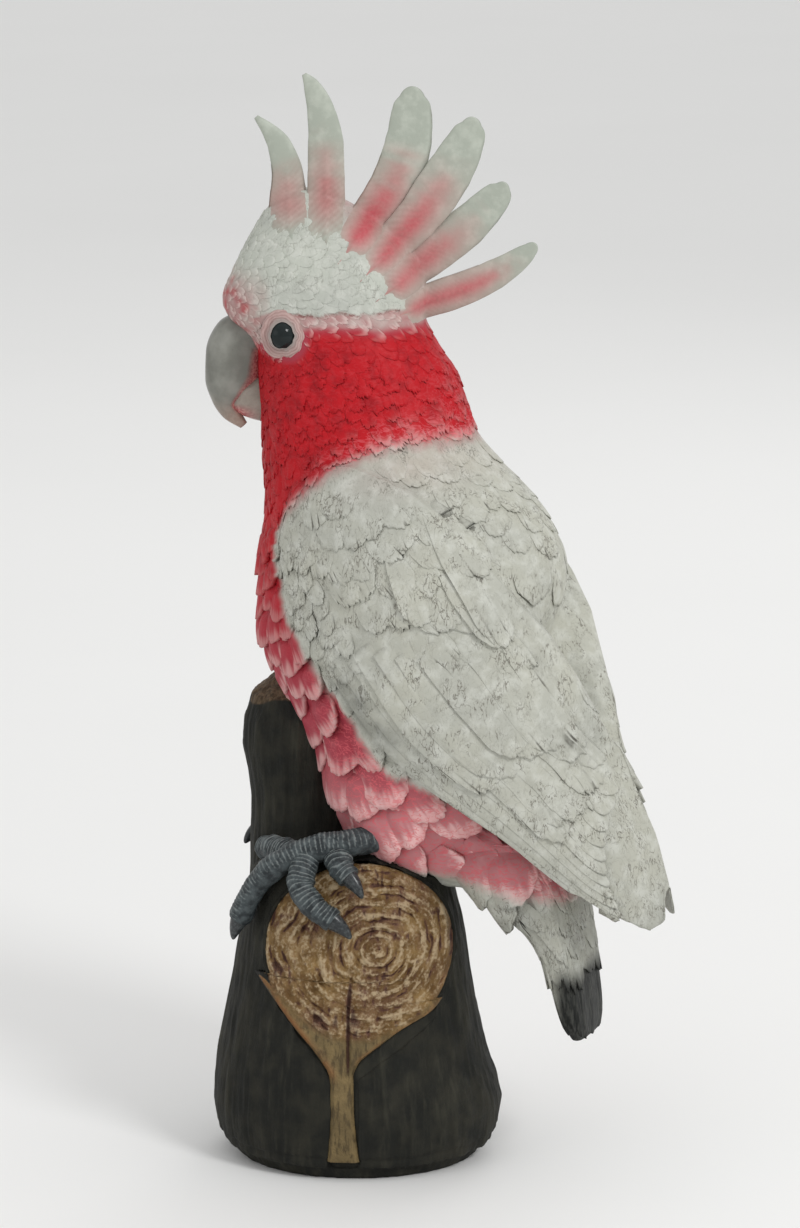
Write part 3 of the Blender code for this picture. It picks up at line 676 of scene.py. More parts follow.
def markings(points):
    """Where the paint is rose, crimson, black and grey, crown white, cracked, and stroked with pink
    paint and painted highlight, with painted shade low on the wing and painted light low on the
    belly.
    """
    back, left, z = in_bird(points)
    x = points[..., 0]
    wander = 0.0022 * layered(points, 0.012, 3)
    ragged = 0.0022 * layered(points, (0.0035, 0.0035, 0.0060), 6, 2)
    along, across = on_leaf(back, z)
    lead = across + 0.05 * noise(points, 0.01, 5)
    behind_lead = smooth(-1.10, -0.98, lead) * smooth(-0.075, -0.060, back)
    over_collar = z - collar_height(back) + ragged
    below_collar = smooth(0.0010, -0.0010, over_collar)
    plain = behind_lead * below_collar
    vent_height = 0.1300 - 0.16 * (back + 0.02)
    vent = smooth(-0.004, 0.004, vent_height + wander - z)
    body = 1 - np.maximum(plain, vent)

    from_eye = from_eyes(points)
    border = CROWN_EDGE + 0.0022 * layered(points, (0.0045, 0.0200, 0.0200), 12, 2)
    border = border - 0.004 * smooth(-0.070, -0.086, x)
    under_crown = smooth(0.0005, -0.0005, z - border)
    red_top = 0.3455 - 0.0075 * smooth(-0.054, -0.068, x) + 0.8 * wander
    cheek = smooth(0.0030, -0.0030, z - red_top) * smooth(0.0095, 0.0130, from_eye + 0.5 * wander)
    deep = smooth(0.185, 0.270, z + wander)
    crimson = body * under_crown * cheek * deep
    fringe = bell(over_collar / 0.0030) * behind_lead * smooth(-0.060, -0.045, back)
    crimson = crimson * (1 - 0.75 * fringe)
    mottle = 0.5 + 0.5 * layered(points, 0.005, 14)
    cere = smooth(-0.068, -0.084, x) * smooth(0.374, 0.356, z) * smooth(0.334, 0.340, z)
    crimson = np.maximum(crimson, 0.60 * cere * smooth(0.50, 0.85, mottle))
    blushed = np.where(z > 0.333, 0.22 + 0.55 * mottle, 1.0)
    blushed = np.maximum(blushed, smooth(0.0060, 0.0, z - red_top))
    at_crest = smooth(0.0030, -0.0040, before_crest(points) + 0.003 * (mottle - 0.5))
    at_crest = at_crest * (0.10 + 0.45 * mottle) * (1 - under_crown)
    on_cere = cere * (0.30 + 0.60 * mottle)
    rose = body * np.maximum(under_crown * blushed, np.maximum(on_cere, at_crest))
    rose = np.maximum(rose * (1 - 0.45 * fringe), 0.45 * fringe * below_collar)
    blot = np.exp(-(((back - 0.006) / 0.020) ** 2 + ((over_collar + 0.008) / 0.009) ** 2))
    rose = np.maximum(rose, 0.12 * blot * behind_lead)

    # Painted shade: a dark patch low on the wing's front, where the flight feathers start.
    soot = smooth(0.26, 0.36, along) * smooth(0.54, 0.42, along) * smooth(-0.55, -0.78, across)
    soot = soot * smooth(-1.0, -0.90, across) * plain * smooth(0.1, 0.7, mottle) * 0.40
    tail_end = smooth(0.0920, 0.0800, z + 1.5 * wander) * smooth(0.0420, 0.0500, x)
    # Greyer towards the wing's tip, and towards the bottom at the back.
    greyed = 0.10 * smooth(0.60, 0.95, along) * plain
    greyed = np.maximum(greyed, 0.26 * smooth(0.125, 0.100, z) * smooth(0.010, 0.030, x))
    soot = np.maximum(soot, greyed * (0.35 + 0.65 * mottle))
    soot = np.maximum(soot, tail_end * (np.abs(left) < 0.03))
    # Where the pink strokes go, at the nape and just above the collar: brushed paint and painted
    # highlight.
    brush = smooth(0.015, 0.001, over_collar) * body * smooth(-0.05, -0.01, back)
    brush = np.maximum(brush, body * smooth(0.0, 0.03, back) * smooth(0.27, 0.29, z) * 0.8)
    cracked = bell((z - border) / 0.0005) * smooth(-0.066, -0.058, x)
    shoulder = smooth(0.44, 0.28, along) * smooth(-0.25, -0.60, across) * plain
    worn = 0.55 + 0.45 * shoulder + 0.30 * smooth(0.66, 0.85, along)
    worn = worn - 0.25 * smooth(0.80, 0.95, across)
    return {
        "worn": worn,
        # Paler low on the belly: partly its own colour, partly painted light where the underside is
        # shaded.
        "faint": smooth(0.178, 0.142, z + wander),
        "rose": rose,
        "crimson": crimson,
        "soot": soot,
        "crown": smooth(0.30, 0.34, z),
        "brush": brush * under_crown,
        "cracked": cracked * smooth(0.2, 0.5, mottle),
    }


# Feathers: solid vanes laid over the skin
class Vane:
    """The make of one kind of feather. Lengths are in metres, and shares of its length or width."""

    root_share, rounding, jag = 0.50, 0.42, 0.05
    sunk, lift, rise, tilt = 0.0005, 0.0012, 1.0, 0.0
    wall, cup, shaft, grooves = 0.0006, 0.0004, 0.0, 0.00010
    notches, notch_depth = 0, 0.0003

    def __init__(self, rows, columns, **more):
        self.rows, self.columns = rows, columns
        for name, number in more.items():
            setattr(self, name, number)


def column_noise(rng, count, columns, rough):
    """A number from -1 to 1 for each column of each vane. Neighbours are alike where rough is low."""
    numbers = rng.uniform(-1, 1, (count, columns))
    softer = (np.roll(numbers, 1, axis=1) + np.roll(numbers, -1, axis=1) + 2 * numbers) / 4
    return rough * numbers + (1 - rough) * softer * 1.5


def vanes(
    name, nets, half_widths, make, paint, roots_on, seed, strip=(0.0015, 0.0015), hand=1, whole=None
):
    """Solid vanes over nets of places and normals (vane, station, left-middle-right, xyz).

    strip is half of each one's patch on the unwrap, and whole tells which have one colour all over.
    """
    places, normals = nets
    rng = np.random.default_rng(seed)
    count, stations = places.shape[:2]
    rows, columns = make.rows, make.columns
    s = np.concatenate([np.linspace(0, 1, rows) ** 0.9, [1.0]])
    v = np.concatenate([[-1.0], np.sin(np.linspace(-1, 1, columns) * 1.35) / math.sin(1.35), [1.0]])
    bottom = np.ones((rows + 1, columns + 2))
    bottom[:-1, 1:-1] = 0

    ridges = np.pad(column_noise(rng, count, columns, 0.6), ((0, 0), (1, 1)), mode="edge")
    jags = np.pad(column_noise(rng, count, columns, 0.7), ((0, 0), (1, 1)), mode="edge")
    notches = np.zeros((count, columns + 2))
    for _ in range(make.notches):
        column = rng.integers(3, columns - 1, count)
        notches[np.arange(count), column] = rng.uniform(0.3, 1.0, count)
    reach = rng.uniform(0.15, 0.5, count)[:, None, None]

    end = 1 - make.rounding * (1 - np.sqrt(np.clip(1 - 0.97 * v * v, 0, 1)))
    end = end + make.jag * jags - 1.5 * make.jag * notches
    along = s[None, :, None] * end[:, None, :]
    breadth = make.root_share + (1 - make.root_share) * smooth(0.0, 0.6, s)
    across = np.broadcast_to(breadth[None, :, None] * v[None, None, :], along.shape)

    stretch = along * (stations - 1)
    low = np.clip(np.floor(stretch).astype(int), 0, stations - 2)
    part = (stretch - low)[..., None]
    vane = np.arange(count)[:, None, None]
    weights = (across * (across - 1) / 2, 1 - across * across, across * (across + 1) / 2)

    def laid(net):
        total = 0.0
        for k, weight in enumerate(weights):
            here = net[vane, low, k] * (1 - part) + net[vane, low + 1, k] * part
            total = total + weight[..., None] * here
        return total

    row = s[None, :, None]
    body, toward_tip = smooth(0.0, 0.35, row), smooth(0.25, 1.0, row)
    size = (half_widths / half_widths.mean())[:, None, None]
    height = -make.sunk + (make.sunk + make.lift * size) * row**make.rise
    height = height + make.cup * size * (1 - v * v) * body
    height = height + make.shaft * bell(v / 0.07) * body
    height = height + make.grooves * ridges[:, None, :] * toward_tip
    open_end = smooth(1 - reach * 1.2, 1.0, np.broadcast_to(row, along.shape))
    height = height - make.notch_depth * notches[:, None, :] * open_end
    height = height - make.tilt * (1 + hand * v) / 2
    height = height + rng.uniform(-0.12, 0.12, count)[:, None, None] * make.lift
    height = height - make.wall * bottom
    points = laid(places) + unit(laid(normals)) * height[..., None]

    fields = markings(points)
    if whole is not None:
        roots = markings(points[:, 1, columns // 2])
        for field in ("rose", "crimson"):
            one = roots[field][:, None, None]
            fields[field] = np.where(whole[:, None, None], one, fields[field])
    fields["rim"] = np.broadcast_to(bottom, along.shape)
    relief = 0.55 * ridges[:, None, :] * toward_tip - 1.1 * notches[:, None, :] * open_end
    fields["relief"] = relief * (1 - bottom)
    fields["tip"] = np.broadcast_to(smooth(0.55, 1.0, row), along.shape) * (1 - bottom)

    top, under, ends = vane_faces(rows, columns)
    start = (np.arange(count) * (rows + 1) * (columns + 2))[:, None, None]
    quads = (np.concatenate([top, under])[None] + start).reshape(-1, 4)
    triangles = (ends[None] + start).reshape(-1, 3)

    # Each vane's patch lies at its root's place on an unwrap of the skin, moved to a free cell, with
    # its underside as a narrow strip beside its top.
    patch = cells_for(roots_on, 2.6 * strip[0] + 0.0006, 2 * strip[1] + 0.0006)[:, None, None, :]
    flat_u, flat_v = np.meshgrid(np.clip(0.9 * v, -1, 1), 0.94 - 1.88 * s)
    flat_u[:, 0], flat_u[:, -1], flat_v[-1] = -1.0, 1.0, -1.0
    flat = stacked(flat_u - 0.2, flat_v).reshape(-1, 2) * strip
    beside = flat * (0.1, 0.9) + (1.3 * strip[0], 0.0)
    on_quads = np.concatenate([flat[top], beside[under]])[None] + patch
    atlas = np.concatenate([on_quads.reshape(-1, 2), (beside[ends][None] + patch).reshape(-1, 2)])
    return piece(name, points.reshape(-1, 3), quads, triangles, paint, fields, atlas)


def vane_faces(rows, columns):
    """The quads of one vane's top and of its underside, and the triangles that close its ends."""
    left = np.arange(rows) * (columns + 2)
    right = left + columns + 1
    under = stacked(left[:-1], left[1:], right[1:], right[:-1])
    tip_row = right[-1] + 1 + np.arange(columns + 2)
    tip_edge = np.concatenate([[left[-1]], tip_row, [right[-1]]])
    tip_fan = stacked(tip_edge[1:-1], tip_edge[2:], left[-1])
    root_edge = np.arange(columns + 2)
    root_fan = stacked(root_edge[1:-1], 0, root_edge[2:])
    ends = np.concatenate([tip_fan, root_fan])
    return sheet_quads(rows + 1, columns + 2)[:, ::-1], under[:, ::-1], ends[:, ::-1]


def cells_for(wanted, width, height):
    """The centre of the free cell nearest to each wanted place on the unit square, one cell each."""
    columns, rows = int(1 / width), int(1 / height)
    taken, found = set(), []
    for u, v in np.clip(wanted, 0, 0.999).tolist():
        column, row = int(u * columns), int(v * rows)
        best = None
        for ring in range(max(columns, rows)):
            near = [
                (abs(i - u * columns + 0.5) + abs(j - v * rows + 0.5), i, j)
                for i in range(max(0, column - ring), min(columns, column + ring + 1))
                for j in range(max(0, row - ring), min(rows, row + ring + 1))
                if max(abs(i - column), abs(j - row)) == ring and (i, j) not in taken
            ]
            if near:
                best = min(near)
                break
        taken.add(best[1:])
        found.append(((best[1] + 0.5) / columns, (best[2] + 0.5) / rows))
    return np.array(found)


def marched(skin, roots, way, lengths, half_widths, stations=7):
    """Nets for straight feathers, from each root along its way on the skin, how fully each one is
    laid out, as a share of its length and width, and how far its sides face the same way.
    """
    places = np.empty((len(roots), stations, 3, 3))
    normals = np.empty_like(places)
    here, facing = skin.nearest(roots)
    pace = (lengths / (stations - 1))[:, None]
    for k in range(stations):
        way = unit(way - (way * facing).sum(axis=1, keepdims=True) * facing)
        side = np.cross(facing, way)
        out = side * half_widths[:, None]
        places[:, k], normals[:, k] = skin.nearest(np.stack([here - out, here, here + out], axis=1))
        here, facing = skin.nearest(here + way * pace)
    chords = np.linalg.norm(places[:, :, 0] - places[:, :, 2], axis=2) / (2 * half_widths[:, None])
    steps = np.linalg.norm(np.diff(places[:, :, 1], axis=1), axis=2) / pace
    bends = (normals[:, :, 0] * normals[:, :, 2]).sum(axis=2)
    return (places, normals), np.minimum(chords.min(axis=1), steps.min(axis=1)), bends.min(axis=1)


def scattered(points, spacing, seed):
    """Indices of points at least spacing apart, in a fixed random order."""
    order = np.random.default_rng(seed).permutation(len(points)).tolist()
    cells = (points / spacing.max()).astype(int).tolist()
    kept, bins = [], {}

    def clear(index, other):
        off = points[index] - points[other]
        return off @ off >= spacing[index] ** 2

    for index in order:
        around = itertools.product(*((k - 1, k, k + 1) for k in cells[index]))
        near = itertools.chain.from_iterable(bins.get(cell, ()) for cell in around)
        if all(clear(index, other) for other in near):
            kept.append(index)
            bins.setdefault(tuple(cells[index]), []).append(index)
    return np.array(kept)


# The bird's coat
CERE = np.array((-0.0900, HEAD_Y, 0.3540))
CROWN_MIDDLE = np.array((-0.0430, HEAD_Y, 0.3450))
# How far the coat keeps from the middle of an eye.
EYE_CLEAR = 0.0096
# The heights where the crown starts and ends, where the head starts and where the breast ends.
CROWN_FOOT, CROWN_TOP = 0.3505, 0.3890
HEAD_FOOT = 0.3250
BREAST_TOP = 0.2620


def unwrap(points):
    """The skin's own shape laid flat: the turn round the axis, and the height or the crown's arc."""
    off = points - CROWN_MIDDLE
    turn = np.arctan2(off[:, 1], off[:, 0])
    arc = np.arctan2(off[:, 2], np.hypot(off[:, 0], off[:, 1]))
    on_head = points[:, 2] > CROWN_MIDDLE[2]
    back, left, z = in_bird(points)
    body_turn = np.arctan2(left, back)
    u = np.where(on_head, turn, body_turn) / (2 * math.pi) + 0.5
    up_body = (z - 0.05) / (CROWN_MIDDLE[2] - 0.05)
    return stacked(u, np.where(on_head, 0.72 + 0.28 * arc / (math.pi / 2), up_body * 0.72))


def lie_of(points):
    """The way that the feathers point: back from the bill on the head, and down elsewhere."""
    back, _, z = in_bird(points)
    on_head = smooth(0.322, 0.348, z)[:, None]
    on_back = smooth(0.0, 0.03, back)[:, None]
    from_bill = unit(points - CERE) - 0.30 * UP
    body = (0.25 + 0.35 * on_back) * BACK - UP
    return unit(from_bill * on_head + body * (1 - on_head))


def from_eyes(points):
    """How far each point is from the middle of the nearer eye, seen from the side."""
    return np.hypot(points[..., 0] - EYE_LEFT.x, points[..., 2] - EYE_LEFT.z)


def spacing_at(points, parts):
    """How far apart the feathers' roots are: closest by the bill and the eyes."""
    z = points[:, 2]
    spacing = 0.0135 - 0.0043 * smooth(0.165, 0.215, z) - 0.0045 * smooth(0.215, 0.290, z)
    mantle = 0.0125 - 0.0035 * smooth(BREAST_TOP, 0.275, z)
    spacing = np.where(parts["mantle"], mantle, spacing)
    spacing = np.where(parts["shoulder"], 0.0062, spacing)
    spacing = np.where(z > CROWN_FOOT, 0.0034, spacing)
    near_bill = np.linalg.norm((points - CERE) * (1.0, 0.7, 1.0), axis=1)
    by_bill = 0.0021 + 0.10 * np.maximum(near_bill - 0.004, 0)
    by_eyes = 0.0024 + 0.12 * np.maximum(from_eyes(points) - 0.009, 0)
    return np.where(z > HEAD_FOOT, np.minimum(spacing, np.minimum(by_bill, by_eyes)), spacing)


def before_crest(points):
    """How far points lie in front of the line where the crest's feathers leave the crown."""
    return -0.77 * (points[..., 0] + 0.0400 - SHIFT_X) - 0.64 * (points[..., 2] - 0.3890)


def parts_of_coat(points, normals):
    """Which of the coat's parts each point of the skin carries."""
    back, left, z = in_bird(points)
    along, across = on_leaf(back, z)
    below_collar = z < collar_height(back)
    on_wing = (across > -0.94) & (across < 0.86) & (along > 0.085) & below_collar & (back > -0.075)
    shoulder = below_collar & (along <= 0.085) & (across > -0.80) & (back > -0.05) & (z > 0.25)
    behind = (below_collar & (across >= 0.86) & (z > 0.190)) | shoulder
    lead = on_wing & (across < -0.50) & (along < 0.31 + 0.10 * (across < -0.86))
    tail = (z < 0.112) | ((back > 0.045) & (z < 0.150))
    eye = (from_eyes(points) < EYE_CLEAR) & (np.abs(normals[:, 1]) > 0.5)
    bill = (points[:, 0] < -0.0745) & (np.abs(points[:, 1] - HEAD_Y) < 0.0085)
    bill &= (z < 0.350) & (z > 0.310)
    bare = on_wing | tail | eye | bill
    face = (z > 0.336) & (z < CROWN_TOP) & ~bare & ((points[:, 0] < -0.0520) | (z < CROWN_FOOT))
    crown = (z > CROWN_FOOT) & ~face
    head = crown & (z < CROWN_TOP) & (before_crest(points) > 0.0075) & ~bare
    elsewhere = ~crown & ~face & ~bare & ~behind
    return {
        "mantle": behind & ~tail & ~head,
        "shoulder": lead & ~tail & ~head,
        "crown": head,
        "face": face,
        "neck": elsewhere & (z > np.maximum(BREAST_TOP, collar_height(back) + 0.005)),
        "belly": elsewhere & (z <= BREAST_TOP),
    }


COAT = {
    "mantle": Vane(
        13, 27, lift=0.0004, wall=0.0005, notches=2, jag=0.04, grooves=0.00004, rounding=0.36
    ),
    "shoulder": Vane(
        9, 19, lift=0.0010, wall=0.0013, cup=0.0006, notches=2, jag=0.06, grooves=0.00005
    ),
    "crown": Vane(
        8, 11, lift=0.00014, wall=0.0003, cup=0.00014, grooves=0.00006, jag=0.10, sunk=0.0003
    ),
    "face": Vane(
        7, 9, lift=0.00024, wall=0.0005, cup=0.00014, grooves=0.00006, jag=0.08, sunk=0.0003
    ),
    "neck": Vane(
        9, 19, lift=0.00026, wall=0.0005, cup=0.0005, grooves=0.00014, jag=0.12, rounding=0.34
    ),
    "belly": Vane(
        15, 35, lift=0.0014, wall=0.0022, cup=0.0036, grooves=0.00040, jag=0.035, rounding=0.80,
        root_share=0.40,
    ),
}
# Lengths and half widths as shares of the spacing, how far the feathers swing from their lie, and
# how fully and how evenly one has to lie to be kept.
BUILD = {
    "mantle": (2.2, 0.74, 0.16, 0.82, 0.55),
    "shoulder": (2.1, 0.70, 0.25, 0.40, 0.2),
    "crown": (2.6, 0.58, 0.20, 0.40, 0.2),
    "face": (2.3, 0.62, 0.25, 0.40, -0.1),
    "neck": (2.4, 0.76, 0.38, 0.40, 0.3),
    "belly": (1.70, 1.02, 0.22, 0.40, -0.7),
}


def one_colour(points):
    """Where a neck feather keeps its root's colour: away from the borders of the red."""
    back, _, z = in_bird(points)
    return (z < HEAD_FOOT) & (z > collar_height(back) + 0.011)


def under_wing(middles):
    """Which feathers, given the middles of their stations, lie half or more under a folded wing."""
    back, _, z = in_bird(middles)
    along, across = on_leaf(back, z)
    covered = (across > -0.97) & (back > -0.075) & (along > 0.1) & (along < 0.96)
    return covered.mean(axis=1) >= 0.45


def lay_coat(skin, paint):
    """The scattered feathers of mantle, shoulders, head, neck and belly."""
    parts = parts_of_coat(skin.points, skin.normals)
    spacing = spacing_at(skin.points, parts)
    wanted = np.flatnonzero(np.any(list(parts.values()), axis=0))
    chosen = wanted[scattered(skin.points[wanted], spacing[wanted], 7)]
    rng = np.random.default_rng(11)
    made = []
    for part, mask in parts.items():
        roots = chosen[mask[chosen]]
        places, facing = skin.points[roots], skin.normals[roots]
        size = spacing[roots] * rng.uniform(0.88, 1.15, len(roots))
        way = lie_of(places)
        way = unit(way - (way * facing).sum(axis=1, keepdims=True) * facing)
        long, broad, loose, fully, evenly = BUILD[part]
        swing = rng.normal(0, loose, len(roots))[:, None]
        way = way * np.cos(swing) + np.cross(facing, way) * np.sin(swing)
        starts, half_widths = places - way * size[:, None] * 0.8, size * broad
        nets, full, even = marched(skin, starts, way, size * long, half_widths)
        kept = (full > fully) & (even > evenly)
        if part in ("crown", "face", "neck"):
            kept &= from_eyes(nets[0][:, :, 1]).min(axis=1) > EYE_CLEAR - 0.0012
        if part == "belly":
            kept &= ~under_wing(nets[0][:, :, 1])
        nets, places = (nets[0][kept], nets[1][kept]), places[kept]
        strip = (0.0025, 0.0025) if part == "crown" else (0.0015, 0.0015)
        whole = (part == "neck") & one_colour(places)
        name, make, spots = f"{part}_feathers", COAT[part], unwrap(places)
        made.append(vanes(name, nets, half_widths[kept], make, paint, spots, 31, strip, 1, whole))
    return made


def off_leaf(spot, way, across):
    """Back and height of places that lie a share across the leaf from spots along it."""
    out = spot[..., 2] * across
    return spot[..., 0] - way[..., 1] * out, spot[..., 1] + way[..., 0] * out


class Wing:
    """A folded wing's outer face, read along and across its leaf."""

    def __init__(self, side, skin):
        self.side = side
        self.skin = skin

    def place(self, along, across):
        """Places and normals on the skin, by rays from the bird's side."""
        along, across = np.broadcast_arrays(along, across)
        held, tucked = np.clip(along, 0.02, 0.945), np.clip(across, -0.88, 0.76)
        row = held * (len(LEAF) - 1)
        low = np.clip(row.astype(int), 0, len(LEAF) - 2)
        part = (row - low)[..., None]
        spot = LEAF[low] * (1 - part) + LEAF[low + 1] * part
        way = unit(LEAF_WAYS[low] * (1 - part) + LEAF_WAYS[low + 1] * part)
        back, z = off_leaf(spot, way, tucked)
        places, normals, met = self.seen(back, z)
        near, facing = self.skin.nearest(in_world(back, 0.02 * self.side, z))
        met = met[..., None]
        return np.where(met, places, near), np.where(met, normals, facing)

    def seen(self, back, z):
        """Where the bird's side is met from outside, level with back and z."""
        starts = in_world(back, 0.12 * self.side, z)
        return self.skin.seen_from(starts, -self.side * LEFT)

    def half_breadth(self, along):
        return np.interp(along, np.linspace(0, 1, len(LEAF)), LEAF[:, 2])

    def nets(self, roots, lengths, half_widths, slants, stations, widest=2.0):
        """Nets for feathers that follow the leaf, from roots given as (along, across)."""
        step = np.linspace(0, 1, stations)[None, :]
        along = roots[:, :1] + step * lengths[:, None] / LEAF_LENGTH
        middle = roots[:, 1:] + slants[:, None] * step
        half = np.minimum(half_widths[:, None] / self.half_breadth(np.clip(along, 0, 0.93)), widest)
        order = np.array((1, 0, -1)) * self.side
        across = middle[..., None] + half[..., None] * order
        return self.place(along[..., None], across)


LEAF_LENGTH = length_of(LEAF[:, :2])
COVERT = Vane(
    13, 31, lift=0.0006, wall=0.0008, cup=0.00045, shaft=0.00004, notches=5, notch_depth=0.00035,
    jag=0.045, grooves=0.00003, rounding=0.40,
)
LONG_COVERT = Vane(
    36, 25, lift=0.0018, wall=0.0015, cup=0.00090, shaft=0.00014, notches=4, jag=0.02,
    grooves=0.00004, rounding=0.22, root_share=0.8, tilt=-0.0017,
)
FLIGHT = Vane(
    70, 17, wall=0.0016, cup=0.00075, shaft=0.00018, jag=0.004, grooves=0.00004, rounding=0.12,
    root_share=0.85, tilt=-0.0018,
)
SCAPULAR = Vane(
    36, 25, lift=0.0022, wall=0.0020, cup=0.0006, notches=3, jag=0.02, grooves=0.00004,
    rounding=0.26, root_share=0.45, sunk=0.0030, tilt=0.0026, rise=0.35,
)
# Sets of long wing feathers: their name, how many, where the lowest and highest start and end along
# the leaf, where across it they lie, their half width, and the most of the leaf that one covers.
LONG_SETS = (
    ("flight_feathers", 11, (0.26, 0.52), (0.97, 0.76), (-0.77, 0.66), 0.0060, 0.17, FLIGHT),
    ("inner_flights", 6, (0.42, 0.50), (0.79, 0.74), (-0.22, 0.62), 0.0060, 0.26, LONG_COVERT),
    ("long_coverts", 7, (0.30, 0.46), (0.60, 0.67), (-0.40, 0.62), 0.0062, 0.24, LONG_COVERT),
)
# The long feathers that lie along the wing's upper edge: their roots along and across the leaf,
# their lengths and half widths.
SCAPULARS = (
    (0.12, 0.60, 0.046, 0.0080),
    (0.09, 0.98, 0.074, 0.0078),
    (0.25, 0.74, 0.050, 0.0080),
    (0.38, 0.82, 0.052, 0.0080),
)
# Rows of coverts: how far along the leaf their tips reach at its middle, and their size.
COVERT_ROWS = ((0.135, 0.0092), (0.19, 0.0100), (0.26, 0.0112), (0.33, 0.0122), (0.41, 0.0130))


def lay_wing(word, side, skin, paint):
    """Rows of coverts over fans of long feathers, the lowest of which reach the wing's tip."""
    wing = Wing(side, skin)
    rng = np.random.default_rng(41 if side > 0 else 43)
    made = []
    for seed, long_set in enumerate(LONG_SETS, start=61):
        name, count, starts, ends, across, half_width, widest, kind = long_set
        share = np.linspace(0, 1, count)
        loose = 0.0 if name == "flight_feathers" else 1.0
        start = np.interp(share, (0, 1), starts) + rng.normal(0, 0.004, count)
        end = np.interp(share, (0, 1), ends) + loose * rng.normal(0, 0.022, count)
        lengths = (end - start) * LEAF_LENGTH
        roots = stacked(start, np.interp(share, (0, 1), across))
        half_widths = half_width * rng.uniform(0.92, 1.12, count)
        slants = loose * rng.normal(0, 0.03, count)
        nets = wing.nets(roots, lengths, half_widths, slants, 20, widest)
        spots = stacked(0.06 + 0.88 * share, 0.5)
        name = f"{name}_{word}"
        made.append(vanes(name, nets, half_widths, kind, paint, spots, seed, (0.018, 0.4), side))

    roots, sizes = [], []
    for row, (reach, size) in enumerate(COVERT_ROWS):
        breadth = float(wing.half_breadth(max(reach - 0.05, 0.06)))
        count = max(3, round(2 * breadth / (size * 0.92)))
        for k in range(count):
            across = -0.90 + 1.62 * (k + 0.5 * (row % 2)) / max(count - 1, 1)
            if across > 0.76 or across < (-0.62 if reach < 0.25 else -0.30):
                continue
            here = size * rng.uniform(0.85, 1.2)
            tip_at = reach + (0.02 + 0.12 * row / 4) * across + rng.normal(0, 0.012)
            root_at = max(tip_at - 2.0 * here / LEAF_LENGTH, 0.05)
            roots.append((root_at, across + rng.normal(0, 0.05)))
            sizes.append(here)
    roots, sizes = np.array(roots), np.array(sizes)
    slants = rng.normal(0, 0.06, len(roots))
    spots = stacked(0.5 + 0.45 * roots[:, 1], 0.05 + 2 * np.maximum(roots[:, 0], 0))
    nets = wing.nets(roots, sizes * 2.0, sizes * 0.66, slants, 7)
    name = f"wing_coverts_{word}"
    made.append(vanes(name, nets, sizes * 0.66, COVERT, paint, spots, 51, (0.006, 0.009)))

    start, across, lengths, half_widths = np.array(SCAPULARS).T
    row = (start * (len(LEAF) - 1)).astype(int)
    starts, _, _ = wing.seen(*off_leaf(LEAF[row], LEAF_WAYS[row], across))
    along = LEAF_WAYS[row, :1] * BACK + LEAF_WAYS[row, 1:] * UP
    nets, _, _ = marched(skin, starts, along, lengths, half_widths, 14)
    spots = stacked(0.1 + 0.15 * np.arange(len(row)), 0.5)
    name = f"scapulars_{word}"
    made.append(vanes(name, nets, half_widths, SCAPULAR, paint, spots, 67, (0.02, 0.3), side))
    return made


# The tail in level sections: height, centre, half length, half width.
TAIL = (
    (0.0545, 0.0712, 0.0035, 0.0140),
    (0.0600, 0.0700, 0.0052, 0.0180),
    (0.0690, 0.0682, 0.0063, 0.0205),
    (0.0900, 0.0637, 0.0080, 0.0215),
    (0.0980, 0.0610, 0.0092, 0.0220),
    (0.1040, 0.0565, 0.0135, 0.0225),
    (0.1140, 0.0500, 0.0185, 0.0235),
    (0.1260, 0.0430, 0.0210, 0.0245),
    (0.1400, 0.0340, 0.0220, 0.0250),
)
TAIL_SQUARENESS = 0.55
TAIL_FEATHER = Vane(
    40, 15, lift=0.0005, wall=0.0008, cup=0.0003, shaft=0.00022, jag=0.01, grooves=0.00012,
    rounding=0.10, root_share=0.75, tilt=0.0004,
)
TAIL_COVERT = Vane(
    16, 17, lift=0.0011, wall=0.0008, shaft=0.0001, grooves=0.00016, rounding=0.5, root_share=0.6,
    notches=2,
)


def round_tail(turn, z):
    """A point on the tail's outside, at a turn from behind towards the bird's left."""
    rows = at_height(TAIL, np.ravel(z))
    _, centre, half_length, half_width = (column.reshape(np.shape(z)) for column in rows.T)
    cos, sin = np.cos(turn), np.sin(turn)
    u = np.copysign(np.abs(cos) ** TAIL_SQUARENESS, cos) * half_length
    v = np.copysign(np.abs(sin) ** TAIL_SQUARENESS, sin) * half_width
    return in_world(centre + u, v, z)


def tail_nets(skin, turns, tops, lengths, half_turn, stations):
    """Nets for feathers that hang down the tail, each half_turn wide to either side."""
    step = np.linspace(0, 1, stations)[None, :, None]
    order = np.array((-1, 0, 1))[None, None, :]
    z = tops[:, None, None] - step * lengths[:, None, None] + 0 * order
    turn = turns[:, None, None] + half_turn * order + 0 * step
    return skin.nearest(round_tail(turn, z))


